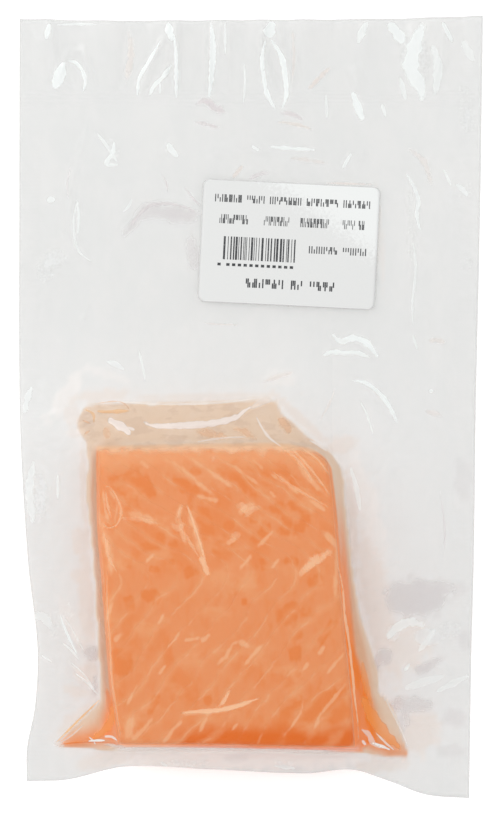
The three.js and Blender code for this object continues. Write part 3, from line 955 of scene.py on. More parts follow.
FLANGE_STREAKS = streaked({
    Shade.GLEAM: (
        (1.7, 0.7, (-44.9, 87.5), (-45.5, 83.5), (-47.5, 79.9), (-43.3, 79.6)),
        (2.4, 0.7, (-27.5, 86.8), (-26.2, 84.5), (-23.9, 81.9)),
        (2, 0.6, (-67.2, 67.5), (-65.9, 68.1), (-64.2, 68.1)),
        (1, 0.4, (-39, 68.5), (-40.3, 65.8), (-42.3, 63.9)),
        (0.9, 0.6, (-57, 67.8), (-56.7, 63.2), (-57, 56.3)),
        (1.5, 0.7, (5.9, 85.5), (13.4, 84.9), (21.3, 84.5)), (1.4, 0.6, (0, 85.8), (2.9, 84.2)),
        (1.5, 0.7, (33.1, 83.5), (31.5, 80.9), (30.1, 78.3)),
        (1.6, 0.7, (50.8, 77), (53.1, 73.1), (55, 67.8), (54.4, 63.2), (55.7, 57.3)),
        (0.9, 0.6, (63.2, 78.3), (65.9, 72.4)), (2.2, 0.5, (67.2, 73.4), (69.5, 71.4), (71.4, 69.1)),
        (0.9, 0.5, (53.1, 54.7), (54.1, 45.5), (53.1, 35), (53.1, 25.9)),
        (0.8, 0.5, (53.1, 23.9), (54.7, 18.7)),
        (2.5, 0.85, (26.2, 24.2), (29.5, 21.6), (33.7, 22.6), (38, 21), (41.9, 16)),
        (2, 0.8, (23.3, 16.7), (26.5, 18), (31.1, 17.7), (35.4, 17.7), (39.6, 16)),
        (1.8, 0.85, (33.1, 8.8), (37.7, 7.9), (41.3, 5.2), (44.6, 1.3), (48.2, -5.6)),
        (0.7, 0.6, (35.7, 2), (38, -2.6), (40, -9.2)), (1.4, 0.7, (58.3, 5.2), (60, 5.2)),
        (2, 0.5, (-47.8, 15.1), (-44.6, 14.1), (-41.3, 12.1)),
        (0.9, 0.5, (-57, 68.5), (-58.3, 59.6), (-56.7, 51.4), (-52.1, 47.5)),
        (1.4, 0.45, (-50.8, 90.4), (-47.2, 85.5), (-43.9, 80.3)),
        (0.8, 0.5, (-37, 19), (-35.7, 14.1), (-34.7, 8.5)),
        (2.6, 0.5, (-71.8, 6.9), (-73.4, 2.6), (-74.4, -2.3)),
        (3.2, 0.5, (-71.1, -17.4), (-72.7, -27.2), (-71.4, -38.3)),
        (0.9, 0.7, (-63.2, -21.6), (-63.2, -30.5)),
        (1.1, 0.75, (-62.6, -67.5), (-60.3, -73.7), (-56.7, -81.3)),
        (0.8, 0.6, (-61.3, -68.5), (-58.7, -72.4), (-54.7, -79.6)),
        (0.8, 0.6, (-68.8, -81.3), (-64.9, -83.6)),
        (1, 0.75, (-57.7, -86.8), (-53.4, -90.1), (-49.8, -94)),
        (0.8, 0.6, (-59.3, -83.2), (-54.7, -87.2), (-50.8, -92.7)),
        (1, 0.6, (-61.9, -77), (-58.7, -79.6), (-56, -82.9)),
        (3.8, 0.35, (-72.4, -69.8), (-68.5, -68.5), (-65.2, -72.4)),
        (3.8, 0.6, (44.2, -76.3), (47.5, -72.4), (52.1, -70.5), (57.3, -71.8)),
        (1.4, 0.7, (50.1, -86.5), (52.1, -83.9)), (2.4, 0.5, (60.6, -72.4), (58, -76.3), (54.7, -80.3)),
        (2, 0.5, (32.4, -19.3), (34.4, -26.5), (35.7, -34.4)),
        (3.2, 0.4, (50.1, -92.1), (56.7, -90.1), (63.9, -88.1)),
        (2.4, 0.4, (71.8, -88.1), (65.9, -90.8), (60.6, -93.4)),
        (1.6, 0.5, (7.2, -117.3), (12.8, -118), (14.7, -118.3)),
        (1.6, 0.5, (-29.8, -116), (-27.2, -117.6))),
    Shade.LILAC: (
        (0.8, 0.6, (-59.3, 79.3), (-60.3, 73.7), (-60, 67.8)),
        (0.8, 0.6, (-29.8, 77), (-27.9, 73.7), (-27.2, 69.5)),
        (1.6, 0.6, (-40.3, 57.7), (-37.7, 62.2), (-33.1, 66.2), (-27.2, 66.8), (-21.3, 65.5),
         (-16.4, 63.2)), (0.9, 0.7, (-22, 72.4), (-19, 68.5), (-16.4, 65.8)),
        (2.4, 0.6, (-1, 75), (3.6, 76.7), (6.2, 77)),
        (0.9, 0.4, (61.9, -27.2), (63.6, -40.3), (63.2, -50.1))),
    Shade.ROSE: (
        (2.2, 0.4, (11.5, 81.9), (18.7, 81.2), (25.9, 79.9)),
        (1, 0.45, (27.8, 6.9), (25.9, 1.6), (21.9, -5.6)),
        (2, 0.7, (-6.2, 75), (-3.6, 78.3), (-2.6, 79.6)),
        (1, 0.7, (24.2, 73.7), (32.4, 73.4), (40.3, 73.1)),
        (3, 0.4, (51.4, 84.9), (56.7, 80.9), (59.6, 72.4)),
        (2.6, 0.5, (58, 21.9), (61.3, 21.9), (64.2, 21.3)),
        (2.6, 0.4, (56.7, -1.3), (60, -2), (63.2, -3)), (2.2, 0.5, (3.6, 8.2), (8.2, 9.8), (14.1, 11.5)),
        (1, 0.4, (-16.7, 27.8), (-11.5, 27.2), (-3.6, 26.9))),
})

TENT_STREAKS = streaked({
    Shade.TENT_GLEAM: (
        (2.8, 0.9, (-35.4, -4.6), (-32.8, -5.9), (-26.9, -6.2), (-19.8, -5.9), (-12, -5.2),
         (-4.9, -3.3), (-1.3, -0.7), (1, 0.3)),
        (3.4, 0.9, (-47, -3.9), (-43.8, -5.5), (-40.6, -7.5), (-39.3, -9.4)),
        (1.2, 0.8, (-40.6, -6.5), (-37.6, -7.5)),
        (0.9, 0.7, (1.6, -2.9), (3.6, -6.8), (6.1, -10.1), (10, -13)),
        (2.8, 0.45, (-0.3, -0.7), (3.6, 1.6), (6.8, 2.3)),
        (0.9, 0.45, (-17.9, -11.4), (-10.1, -10.1), (-1, -9.7)),
        (2.2, 0.55, (35.3, -103.8), (37.9, -105.8), (39.6, -109), (42.8, -111)),
        (0.8, 0.7, (40.2, -105.4), (43.8, -109.3), (47, -112.2)),
        (1.2, 0.8, (-47.7, -106.7), (-45.1, -106.4), (-42.8, -107.4)),
        (0.7, 0.5, (-64.6, -111.3), (-58.7, -107.4), (-54.2, -103.2))),
    Shade.RIM_GLEAM: (
        (0.9, 0.45, (-52.2, 0.6), (-43.5, 1.6), (-32.8, 1), (-19.8, 1), (-7.8, 1.6), (6.1, 3.6)),
        (0.8, 0.6, (18.8, -10.7), (21.7, -12.3), (25, -14.6)),
        (0.6, 0.4, (43.1, -94.1), (45.7, -98.9), (49, -105.4), (51.6, -111.9))),
    Shade.AMBER: (
        (1.6, 0.6, (-50.6, -1.3), (-47.4, -1.6), (-40.6, -1.3), (-39.3, -1.3)),
        (1, 0.5, (-54.5, -0.7), (-51.6, -2.3), (-51.3, -5.5)),
        (0.8, 0.8, (-64.2, -110.3), (-56.8, -102.8), (-49, -95.1))),
    Shade.TAN: (
        (0.8, 0.7, (-55.5, -4.2), (-52.2, -5.5)), (0.9, 0.7, (-54.8, -9.1), (-52.2, -7.5)),
        (3.4, 0.45, (-48.3, -6.8), (-47, -8.4), (-46.1, -10.4)),
        (4, 0.5, (-18.5, -7.8), (-13.3, -8.8), (-7.5, -9.7)),
        (3.4, 0.5, (-6.2, -6.8), (-2.3, -8.1), (2.3, -10.7)),
        (4.4, 0.6, (8.4, -3.6), (10.7, -5.5), (13, -8.8)),
        (0.9, 0.45, (-38.9, -1.6), (-42.5, 1.6), (-51.6, 1))),
    Shade.GLEAM: (
        (1.3, 0.8, (38.9, -108.7), (41.8, -110), (45.7, -111.9)),
        (1.3, 0.6, (35.7, -107.4), (37.3, -109.7)),
        (1.3, 0.85, (-53.2, -108.7), (-50.6, -108.4), (-47, -108)),
        (0.8, 0.7, (-52.9, -107.1), (-51.3, -108.4), (-50.6, -110))),
    Shade.ORANGE: (
        (4.4, 0.65, (35.7, -93.1), (38.9, -99.6), (43.5, -106.1), (49.3, -112.2)),
        (2.6, 0.5, (36, -82.1), (37.3, -89.9), (39.2, -97)),
        (3.4, 0.55, (-51.6, -108), (-48, -105.1), (-45.1, -100.9), (-44.8, -95.7))),
    Shade.JUICE: (
        (2.2, 0.55, (-46.7, -90.5), (-45.8, -95.1), (-45.1, -100.2)),
        (0.8, 0.6, (-62.9, -110.6), (-58.1, -109.7), (-52.2, -109), (-41.9, -108.7))),
    Shade.ROSE: (
        (2.4, 0.5, (-48.3, -109.3), (-44.8, -109.7), (-40.2, -109.3)),
        (2.6, 0.6, (-64.9, -109.7), (-62.9, -110.3), (-60.7, -111))),
})

BLOCK_STREAKS = streaked({
    Shade.BLOCK_GLEAM: (
        (1.3, 0.32, (-21.5, -30.8), (-23.1, -34), (-22.2, -38.9), (-20.9, -42.7)),
        (1.2, 0.36, (-21.5, -39.5), (-19, -44.6), (-16.4, -48.5)),
        (1.4, 0.68, (-20.9, -30.8), (-19.3, -35), (-16.7, -42.7), (-14.5, -49.8)),
        (2.9, 0.64, (-16.4, -47.8), (-14.8, -51), (-13.8, -54.3)),
        (1, 0.48, (-47.8, -26.3), (-45.9, -25.7), (-43.4, -28.9), (-41.8, -33.4), (-43, -37.6),
         (-45.9, -38.9), (-48.2, -36.9)), (1, 0.48, (-46.9, -26.7), (-46.2, -31.5), (-45, -36)),
        (1.2, 0.4, (-48.2, -40.1), (-46.6, -42.7), (-45.9, -47.8), (-43, -53)),
        (2, 0.72, (-23.5, -98.2), (-17.7, -97.6), (-11.3, -97.3), (-4.2, -95.7), (3.2, -93.1)),
        (1.4, 0.48, (-6.4, -90.2), (-8.7, -94.1), (-11.3, -96.9)),
        (1.4, 0.4, (9.9, -12.9), (14.4, -16.4), (18.3, -21.2), (20.2, -25.4)),
        (1.2, 0.48, (12.8, -12.9), (18.9, -19.6), (22.8, -24.7), (25.6, -28.9)),
        (1.3, 0.4, (6.1, -20.2), (13.1, -25.4), (18.9, -28.9), (25.3, -32.4)),
        (0.9, 0.48, (15.7, -12.9), (21.5, -17), (25.3, -22.2)),
        (1.2, 0.72, (27.9, -51), (29.5, -58.8), (30.1, -66.8), (31.4, -74.8), (32.4, -83.8),
         (33.4, -94.1), (34.3, -101.1), (34.6, -107.5)),
        (1, 0.44, (-46.2, -51.4), (-46.2, -62), (-45.3, -74.8), (-44.6, -87.6), (-43, -98.9),
         (-41.4, -108.2))),
    # Painted highlights on the film over the portion.
    Shade.SHEEN: (
        (4, 0.45, (26.3, -45.9), (20.8, -49.1), (15.1, -54.3)),
        (2.6, 0.3, (-26, -36.9), (-23.5, -38.9), (-20.9, -36.9)),
        (2, 0.24, (-42.1, -35.6), (-35.7, -36.3), (-29.2, -37.6)),
        (3.6, 0.36, (-5.2, -32.4), (-2.9, -31.8), (-1.6, -34.4)),
        (2.6, 0.3, (-2.3, -35.6), (0.3, -33.1), (3.5, -31.5)),
        (3, 0.27, (-7.1, -42.7), (-4.8, -41.4), (-2.9, -40.8))),
})


class Graph:
    """Builds a material's or a group's nodes with short calls."""

    def __init__(self, tree: bpy.types.NodeTree) -> None:
        """Keeps the tree."""
        self.tree = tree

    def feed(self, socket: Socket, source: object) -> None:
        """Links a socket to an input, or sets the input's own value.

        Args:
            socket: The input.
            source: A socket to link, or a value.
        """
        if isinstance(source, bpy.types.NodeSocket):
            self.tree.links.new(source, socket)
        else:
            socket.default_value = source

    def node(self, kind: str, given: dict[str | int, object] | None = None, **settings: object) -> Node:
        """Adds a node.

        Args:
            kind: The node's type.
            given: What feeds its inputs, by their names or numbers.
            settings: The node's properties.

        Returns:
            The node.
        """
        made = self.tree.nodes.new(kind)
        for name, value in settings.items():
            setattr(made, name, value)
        for name, source in (given or {}).items():
            self.feed(made.inputs[name], source)
        return made

    def math(self, operation: str, *sources: object, clamp: bool = False) -> Socket:
        """Result of a Math node."""
        made = self.node("ShaderNodeMath", dict(enumerate(sources)), operation=operation, use_clamp=clamp)
        return made.outputs[0]

    def times(self, a: object, b: object) -> Socket:
        """Product of a and b."""
        return self.math("MULTIPLY", a, b)

    def plus(self, a: object, b: object) -> Socket:
        """Sum of a and b."""
        return self.math("ADD", a, b)

    def less(self, a: object, b: object) -> Socket:
        """Difference a - b."""
        return self.math("SUBTRACT", a, b)

    def mix(self, share: object, a: object, b: object) -> Socket:
        """Colour blend from a to b. A Mix node's colours are its inputs 6 and 7 and its output 2."""
        return self.node("ShaderNodeMix", {"Factor": share, 6: a, 7: b}, data_type="RGBA").outputs[2]

    def toward(self, colour: object, mask: Socket, share: float, shade: Shade) -> Socket:
        """The colour moved towards a shade by a share of the mask."""
        return self.mix(self.times(mask, share), colour, shade.rgba)

    def ramp(self, value: object, low: object, high: object, start: float = 0.0, end: float = 1.0) -> Socket:
        """Smooth rise of a value from start at low to end at high."""
        given = {"Value": value, "From Min": low, "From Max": high, "To Min": start, "To Max": end}
        return self.node("ShaderNodeMapRange", given, interpolation_type="SMOOTHSTEP").outputs["Result"]

    def noise(self, vector: Socket, scale: object, detail: float = 3.0, roughness: float = 0.5) -> Socket:
        """Noise texture value at the given scale per metre."""
        given = {"Vector": vector, "Scale": scale, "Detail": detail, "Roughness": roughness}
        return self.node("ShaderNodeTexNoise", given).outputs["Fac"]

    def torn(self, vector: Socket, scale: float, detail: float = 4.0, roughness: float = 0.6) -> Socket:
        """Noise about 0, which frays the edge of a mask that it is added to."""
        return self.less(self.noise(vector, scale, detail, roughness), 0.5)

    def stretched(self, vector: Socket, scale: tuple[float, float, float], turn: float = 0.0) -> Socket:
        """The vector scaled by axis and turned about Z by degrees."""
        given = {"Vector": vector, "Scale": scale, "Rotation": (0.0, 0.0, math.radians(turn))}
        return self.node("ShaderNodeMapping", given).outputs["Vector"]

    def attribute(self, name: str, output: str = "Fac") -> Socket:
        """A mesh attribute."""
        return self.node("ShaderNodeAttribute", attribute_name=name).outputs[output]

    def mottle(self, vector: Socket, scale: float, low: float, high: float) -> Socket:
        """Mask of the Mottle group, placed with its own values."""
        given = {"Vector": vector, "Scale": scale, "Low": low, "High": high}
        return self.node("ShaderNodeGroup", given, node_tree=mottle_group()).outputs["Mask"]


def mottle_group() -> bpy.types.NodeTree:
    """Group that several finishes share: soft patches, as a mask over the surface.

    Returns:
        The group, whose mask is smoothstep(noise, low, high). It is built at its first use.
    """
    name = "Mottle"
    if name in bpy.data.node_groups:
        return bpy.data.node_groups[name]
    tree = bpy.data.node_groups.new(name, "ShaderNodeTree")
    sockets = {"Vector": "NodeSocketVector", "Scale": "NodeSocketFloat", "Low": "NodeSocketFloat",
               "High": "NodeSocketFloat"}
    for socket, kind in sockets.items():
        tree.interface.new_socket(socket, in_out="INPUT", socket_type=kind)
    tree.interface.new_socket("Mask", in_out="OUTPUT", socket_type="NodeSocketFloat")
    graph = Graph(tree)
    given = graph.node("NodeGroupInput").outputs
    patches = graph.noise(given["Vector"], given["Scale"], 4.0, 0.55)
    graph.node("NodeGroupOutput", {"Mask": graph.ramp(patches, given["Low"], given["High"])})
    return tree


class Surface(Graph):
    """A material's own nodes: a Principled BSDF on its output, and what feeds it."""

    def __init__(self, name: str, values: dict[str, object]) -> None:
        """Makes the material.

        Args:
            name: The material's name.
            values: Values of the shader's own sockets, the same all over the surface.
        """
        self.material = bpy.data.materials.new(name)
        self.material.use_nodes = True
        super().__init__(self.material.node_tree)
        self.tree.nodes.clear()
        self.shader = self.node("ShaderNodeBsdfPrincipled", values)
        self.output = self.node("ShaderNodeOutputMaterial", {"Surface": self.shader.outputs[0]})
        self.place = self.node("ShaderNodeTexCoord").outputs["Object"]

    def millimetres(self) -> tuple[Socket, ...]:
        """Millimetres across, along and up at the point."""
        scaled = self.stretched(self.place, (1 / MM, 1 / MM, 1 / MM))
        return tuple(self.node("ShaderNodeSeparateXYZ", {"Vector": scaled}).outputs)

    def lit_through(self) -> Socket:
        """1 for rays that carry light past the surface, and 0 for those that see it."""
        ray = self.node("ShaderNodeLightPath").outputs
        return self.math("MAXIMUM", ray["Is Shadow Ray"], ray["Is Diffuse Ray"])

    def part_clear(self, cover: Socket) -> None:
        """Makes the surface clear where its cover is below 1.

        Args:
            cover: The shader's share; the rest is a Transparent BSDF.
        """
        clear = self.node("ShaderNodeBsdfTransparent")
        both = self.node("ShaderNodeMixShader", {0: cover, 1: clear.outputs[0], 2: self.shader.outputs[0]})
        self.feed(self.output.inputs["Surface"], both.outputs[0])

    def dressed(self, colour: Socket, height: Socket | None = None, depth: float = 0.0) -> Material:
        """Feeds the shader's colour and relief.

        Args:
            colour: The base colour.
            height: The relief's height, if it has one.
            depth: The height's full range in millimetres.

        Returns:
            The finished material.
        """
        self.feed(self.shader.inputs["Base Color"], colour)
        if height is not None:
            bump = self.node("ShaderNodeBump", {"Strength": 1.0, "Distance": depth * MM, "Height": height})
            self.feed(self.shader.inputs["Normal"], bump.outputs["Normal"])
        return self.material


# ---- finishes -----------------------------------------------------------------------------------


@dataclass(frozen=True)
class FilmFinish:
    """Clear film: see-through by its haze attribute, with its tint attribute and fine crinkles."""

    roughness: float = 0.18
    specular: float = 0.18
    crinkle: float = 0.16
    edge_on: float = 0.2
    passes_light: float = 0.65

    def material(self) -> Material:
        """See-through share = 1 - haze, less at a grazing angle; the rest is glossy tinted film.

        Returns:
            The material.
        """
        film = Surface("clear_film", {"Roughness": self.roughness, "Specular IOR Level": self.specular})
        # Painted highlight: the glow attribute, frayed by noise, moves the colour towards SHINE and makes the
        # film less clear.
        painted_highlight = film.plus(film.attribute("glow"), film.times(film.torn(film.place, 480.0), 0.4))
        painted_highlight = film.ramp(painted_highlight, 0.17, 0.4)
        blotch = film.mottle(film.stretched(film.place, (1.0, 0.55, 1.0), 20.0), 90.0, 0.42, 0.62)
        murk = film.mottle(film.stretched(film.place, (0.6, 1.0, 1.0), 8.0), 210.0, 0.5, 0.58)
        murk = film.times(murk, film.attribute("murk"))
        colour = film.toward(film.attribute("tint", "Color"), blotch, 0.08, Shade.HALO)
        colour = film.toward(colour, murk, 0.4, Shade.MURK)
        colour = film.toward(colour, painted_highlight, 0.75, Shade.SHINE)
        fine = film.noise(film.stretched(film.place, (1.0, 0.4, 1.0), 12.0), 620.0, 2.0)
        wide = film.noise(film.stretched(film.place, (1.0, 0.5, 1.0), -24.0), 150.0)
        ribs = film.math("SINE", film.times(film.attribute("ribs"), 2 * math.pi))
        relief = film.plus(film.plus(film.times(fine, 0.3), wide), film.times(ribs, film.attribute("seal")))
        haze = film.plus(film.attribute("haze"), film.times(painted_highlight, 0.35))
        facing = film.node("ShaderNodeLayerWeight", {"Blend": 0.35}).outputs["Facing"]
        cover = film.math("ADD", haze, film.times(facing, self.edge_on), clamp=True)
        film.part_clear(film.times(cover, film.less(1.0, film.times(film.lit_through(), self.passes_light))))
        return film.dressed(colour, relief, self.crinkle)


@dataclass(frozen=True)
class StreakFinish:
    """What a streak shows: its own tint, solid in the middle and ragged towards its sides."""

    roughness: float = 0.3
    specular: float = 0.3

    def material(self) -> Material:
        """Cover = strength where body + ragged noise passes a threshold; clear elsewhere.

        Returns:
            The material.
        """
        mark = Surface("film_streak", {"Roughness": self.roughness, "Specular IOR Level": self.specular})
        frayed = mark.attribute("frayed")
        body = mark.plus(mark.attribute("body"), mark.times(mark.torn(mark.place, 520.0, 3.0), frayed))
        full = mark.math("MULTIPLY_ADD", frayed, 0.4, 0.3)
        cover = mark.times(mark.ramp(body, 0.2, full), mark.attribute("strength"))
        mark.part_clear(mark.times(cover, mark.less(1.0, mark.lit_through())))
        return mark.dressed(mark.attribute("tint", "Color"))


@dataclass(frozen=True)
class FleshFinish:
    """Salmon flesh: orange muscle in nested chevrons, parted by thin pale lines of fat."""

    pitch: float = 8.0
    apex: float = -53.0
    upper_lean: float = 1.5
    lower_lean: float = 0.9
    soften: float = 7.0
    line: float = 0.75
    band: float = 2.6
    fibre_depth: float = 0.12

    def chevrons(self, flesh: Surface, x: Socket, y: Socket) -> tuple[Socket, Socket]:
        """Distance off the chevrons, where x + lean * |y - apex| + warp is a whole number of pitches.

        Args:
            flesh: The material's nodes.
            x: Place across, in millimetres.
            y: Place along, in millimetres.

        Returns:
            The mask of the fat lines, and that of the pale bands about them.
        """
        rise = flesh.less(y, self.apex)
        up = flesh.math("SMOOTH_MAX", rise, 0.0, self.soften)
        down = flesh.math("SMOOTH_MAX", flesh.times(rise, -1.0), 0.0, self.soften)
        lean = flesh.plus(flesh.times(up, self.upper_lean), flesh.times(down, self.lower_lean))
        warp = flesh.times(flesh.noise(flesh.place, 38.0, 2.0), 15.0)
        ripple = flesh.times(flesh.noise(flesh.place, 210.0), 3.2)
        bent = flesh.plus(flesh.plus(x, lean), flesh.plus(warp, ripple))
        across = flesh.math("FRACT", flesh.math("DIVIDE", bent, self.pitch))
        off = flesh.times(flesh.math("ABSOLUTE", flesh.less(across, 0.5)), self.pitch)
        return flesh.ramp(off, 0.1, self.line, 1.0, 0.0), flesh.ramp(off, 0.3, self.band, 1.0, 0.0)

    def muscle(self, flesh: Surface, x: Socket, y: Socket, torn: Socket, streaky: Socket) -> Socket:
        """Mottled orange: deeper in the muscle's marks, with painted shade low at the back, lighter in soft
        patches.

        Args:
            flesh: The material's nodes.
            x: Place across, in millimetres.
            y: Place along, in millimetres.
            torn: Noise that frays the marks.
            streaky: The place, stretched along the fibres.

        Returns:
            The colour of the muscle.
        """
        marks = flesh.ramp(flesh.math("MULTIPLY_ADD", torn, 2.2, flesh.attribute("muscle")), 0.22, 0.75)
        deep = flesh.math("MAXIMUM", marks, flesh.times(flesh.mottle(streaky, 105.0, 0.5, 0.64), 0.6))
        light = flesh.mottle(flesh.stretched(flesh.place, (0.7, 1.0, 1.0), 30.0), 130.0, 0.52, 0.72)
        colour = flesh.toward(Shade.FLESH.rgba, deep, 0.7, Shade.FLESH_DEEP)
        colour = flesh.toward(colour, flesh.mottle(streaky, 330.0, 0.52, 0.64), 0.22, Shade.FLESH_DEEP)
        colour = flesh.toward(colour, light, 0.55, Shade.FLESH_LIGHT)
        # Painted shade: darker low at the back, from the middle to the right.
        wave = flesh.times(flesh.noise(flesh.place, 75.0), 9.0)
        low = flesh.ramp(flesh.plus(y, wave), -95.5, -101.5)
        right = flesh.ramp(flesh.plus(x, flesh.times(wave, 2.0)), -20.0, -8.0)
        return flesh.toward(colour, flesh.times(low, right), 0.9, Shade.FLESH_DARK)

    def material(self) -> Material:
        """Muscle crossed by the fat lines, paler at the belly, with fat and then skin below.

        Returns:
            The material.
        """
        flesh = Surface("salmon_flesh", {
            "Roughness": 0.42, "Specular IOR Level": 0.2, "Subsurface Weight": 0.12,
            "Subsurface Radius": (1.0, 0.35, 0.15), "Subsurface Scale": 0.004})
        x, y, z = flesh.millimetres()
        place = flesh.place
        streaky = flesh.stretched(place, (1.0, 0.45, 1.0), -38.0)
        torn = flesh.torn(streaky, 420.0)
        colour = self.muscle(flesh, x, y, torn, streaky)
        fat, band = self.chevrons(flesh, x, y)
        band = flesh.times(band, flesh.mottle(place, 80.0, 0.4, 0.6))
        colour = flesh.toward(colour, band, 0.4, Shade.FLESH_LIGHT)
        faint = flesh.times(fat, flesh.ramp(flesh.mottle(place, 170.0, 0.5, 0.6), 0.0, 1.0, 0.02, 0.22))
        drawn = flesh.ramp(flesh.math("MULTIPLY_ADD", torn, 2.0, flesh.attribute("fat")), 0.3, 0.95, 0.0, 0.5)
        colour = flesh.mix(flesh.math("MAXIMUM", faint, drawn), colour, Shade.FAT.rgba)
        edge = flesh.plus(y, flesh.times(flesh.torn(place, 260.0, roughness=0.5), 5.0))
        colour = flesh.mix(flesh.ramp(edge, -24.0, -15.0, 0.0, 0.6), colour, Shade.FLESH_LIGHT.rgba)
        colour = flesh.mix(flesh.ramp(edge, -15.0, -12.2, 0.0, 0.85), colour, Shade.BELLY.rgba)
        height = flesh.plus(z, flesh.times(flesh.noise(place, 190.0), 1.6))
        colour = flesh.mix(flesh.ramp(height, 4.2, 3.0, 0.0, 0.7), colour, Shade.FAT.rgba)
        colour = flesh.mix(flesh.ramp(height, 2.2, 1.8), colour, Shade.SKIN_DARK.rgba)
        fibre = flesh.noise(flesh.stretched(place, (1.0, 0.22, 1.0), -40.0), 900.0, 2.0)
        relief = flesh.less(flesh.times(fibre, 0.5), flesh.times(fat, 0.6))
        return flesh.dressed(colour, relief, self.fibre_depth)


@dataclass(frozen=True)
class SkinFinish:
    """Silver fish skin with overlapping scales, on the face that lies down."""

    scale: float = 330.0
    roughness: float = 0.35
    metal: float = 0.25
    relief: float = 0.15

    def material(self) -> Material:
        """Voronoi cells, stretched along the fish, as scales that are dark at their rims.

        Returns:
            The material.
        """
        skin = Surface("salmon_skin", {"Roughness": self.roughness, "Metallic": self.metal})
        given = {"Vector": skin.stretched(skin.place, (0.8, 1.2, 0.2)), "Scale": self.scale}
        cells = skin.node("ShaderNodeTexVoronoi", given, feature="DISTANCE_TO_EDGE")
        rim = skin.ramp(cells.outputs["Distance"], 0.02, 0.16)
        patch = skin.mottle(skin.place, 45.0, 0.35, 0.65)
        base = skin.mix(patch, Shade.SKIN_SILVER.rgba, Shade.SKIN_DARK.rgba)
        return skin.dressed(skin.mix(skin.times(rim, 0.6), Shade.SKIN_DARK.rgba, base), rim, self.relief)


@dataclass(frozen=True)
class PaperFinish:
    """White label paper with a faint tooth, and a painted highlight at its upper right corner."""

    roughness: float = 0.5
    tooth: float = 0.02

    def material(self) -> Material:
        """The painted highlight begins where x + 1.4 y + noise passes 130 mm, and is full at 142 mm.

        Returns:
            The material.
        """
        paper = Surface("label_paper", {"Roughness": self.roughness})
        x, y, _ = paper.millimetres()
        corner = paper.math("MULTIPLY_ADD", y, 1.4, x)
        corner = paper.math("MULTIPLY_ADD", paper.noise(paper.place, 900.0, 4.0, 0.7), 50.0, corner)
        colour = paper.mix(paper.ramp(corner, 130.0, 142.0), Shade.PAPER.rgba, Shade.PAPER_SHINE.rgba)
        return paper.dressed(colour, paper.noise(paper.place, 2600.0, 2.0), self.tooth)


@dataclass(frozen=True)
class InkFinish:
    """Thermal print, slightly uneven."""

    roughness: float = 0.55

    def material(self) -> Material:
        """Near black that thins out in fine specks.

        Returns:
            The material.
        """
        ink = Surface("label_ink", {"Roughness": self.roughness})
        specks = ink.mottle(ink.place, 2600.0, 0.5, 0.8)
        return ink.dressed(ink.toward(Shade.INK.rgba, specks, 0.3, Shade.PAPER))


# ---- pieces -------------------------------------------------------------------------------------


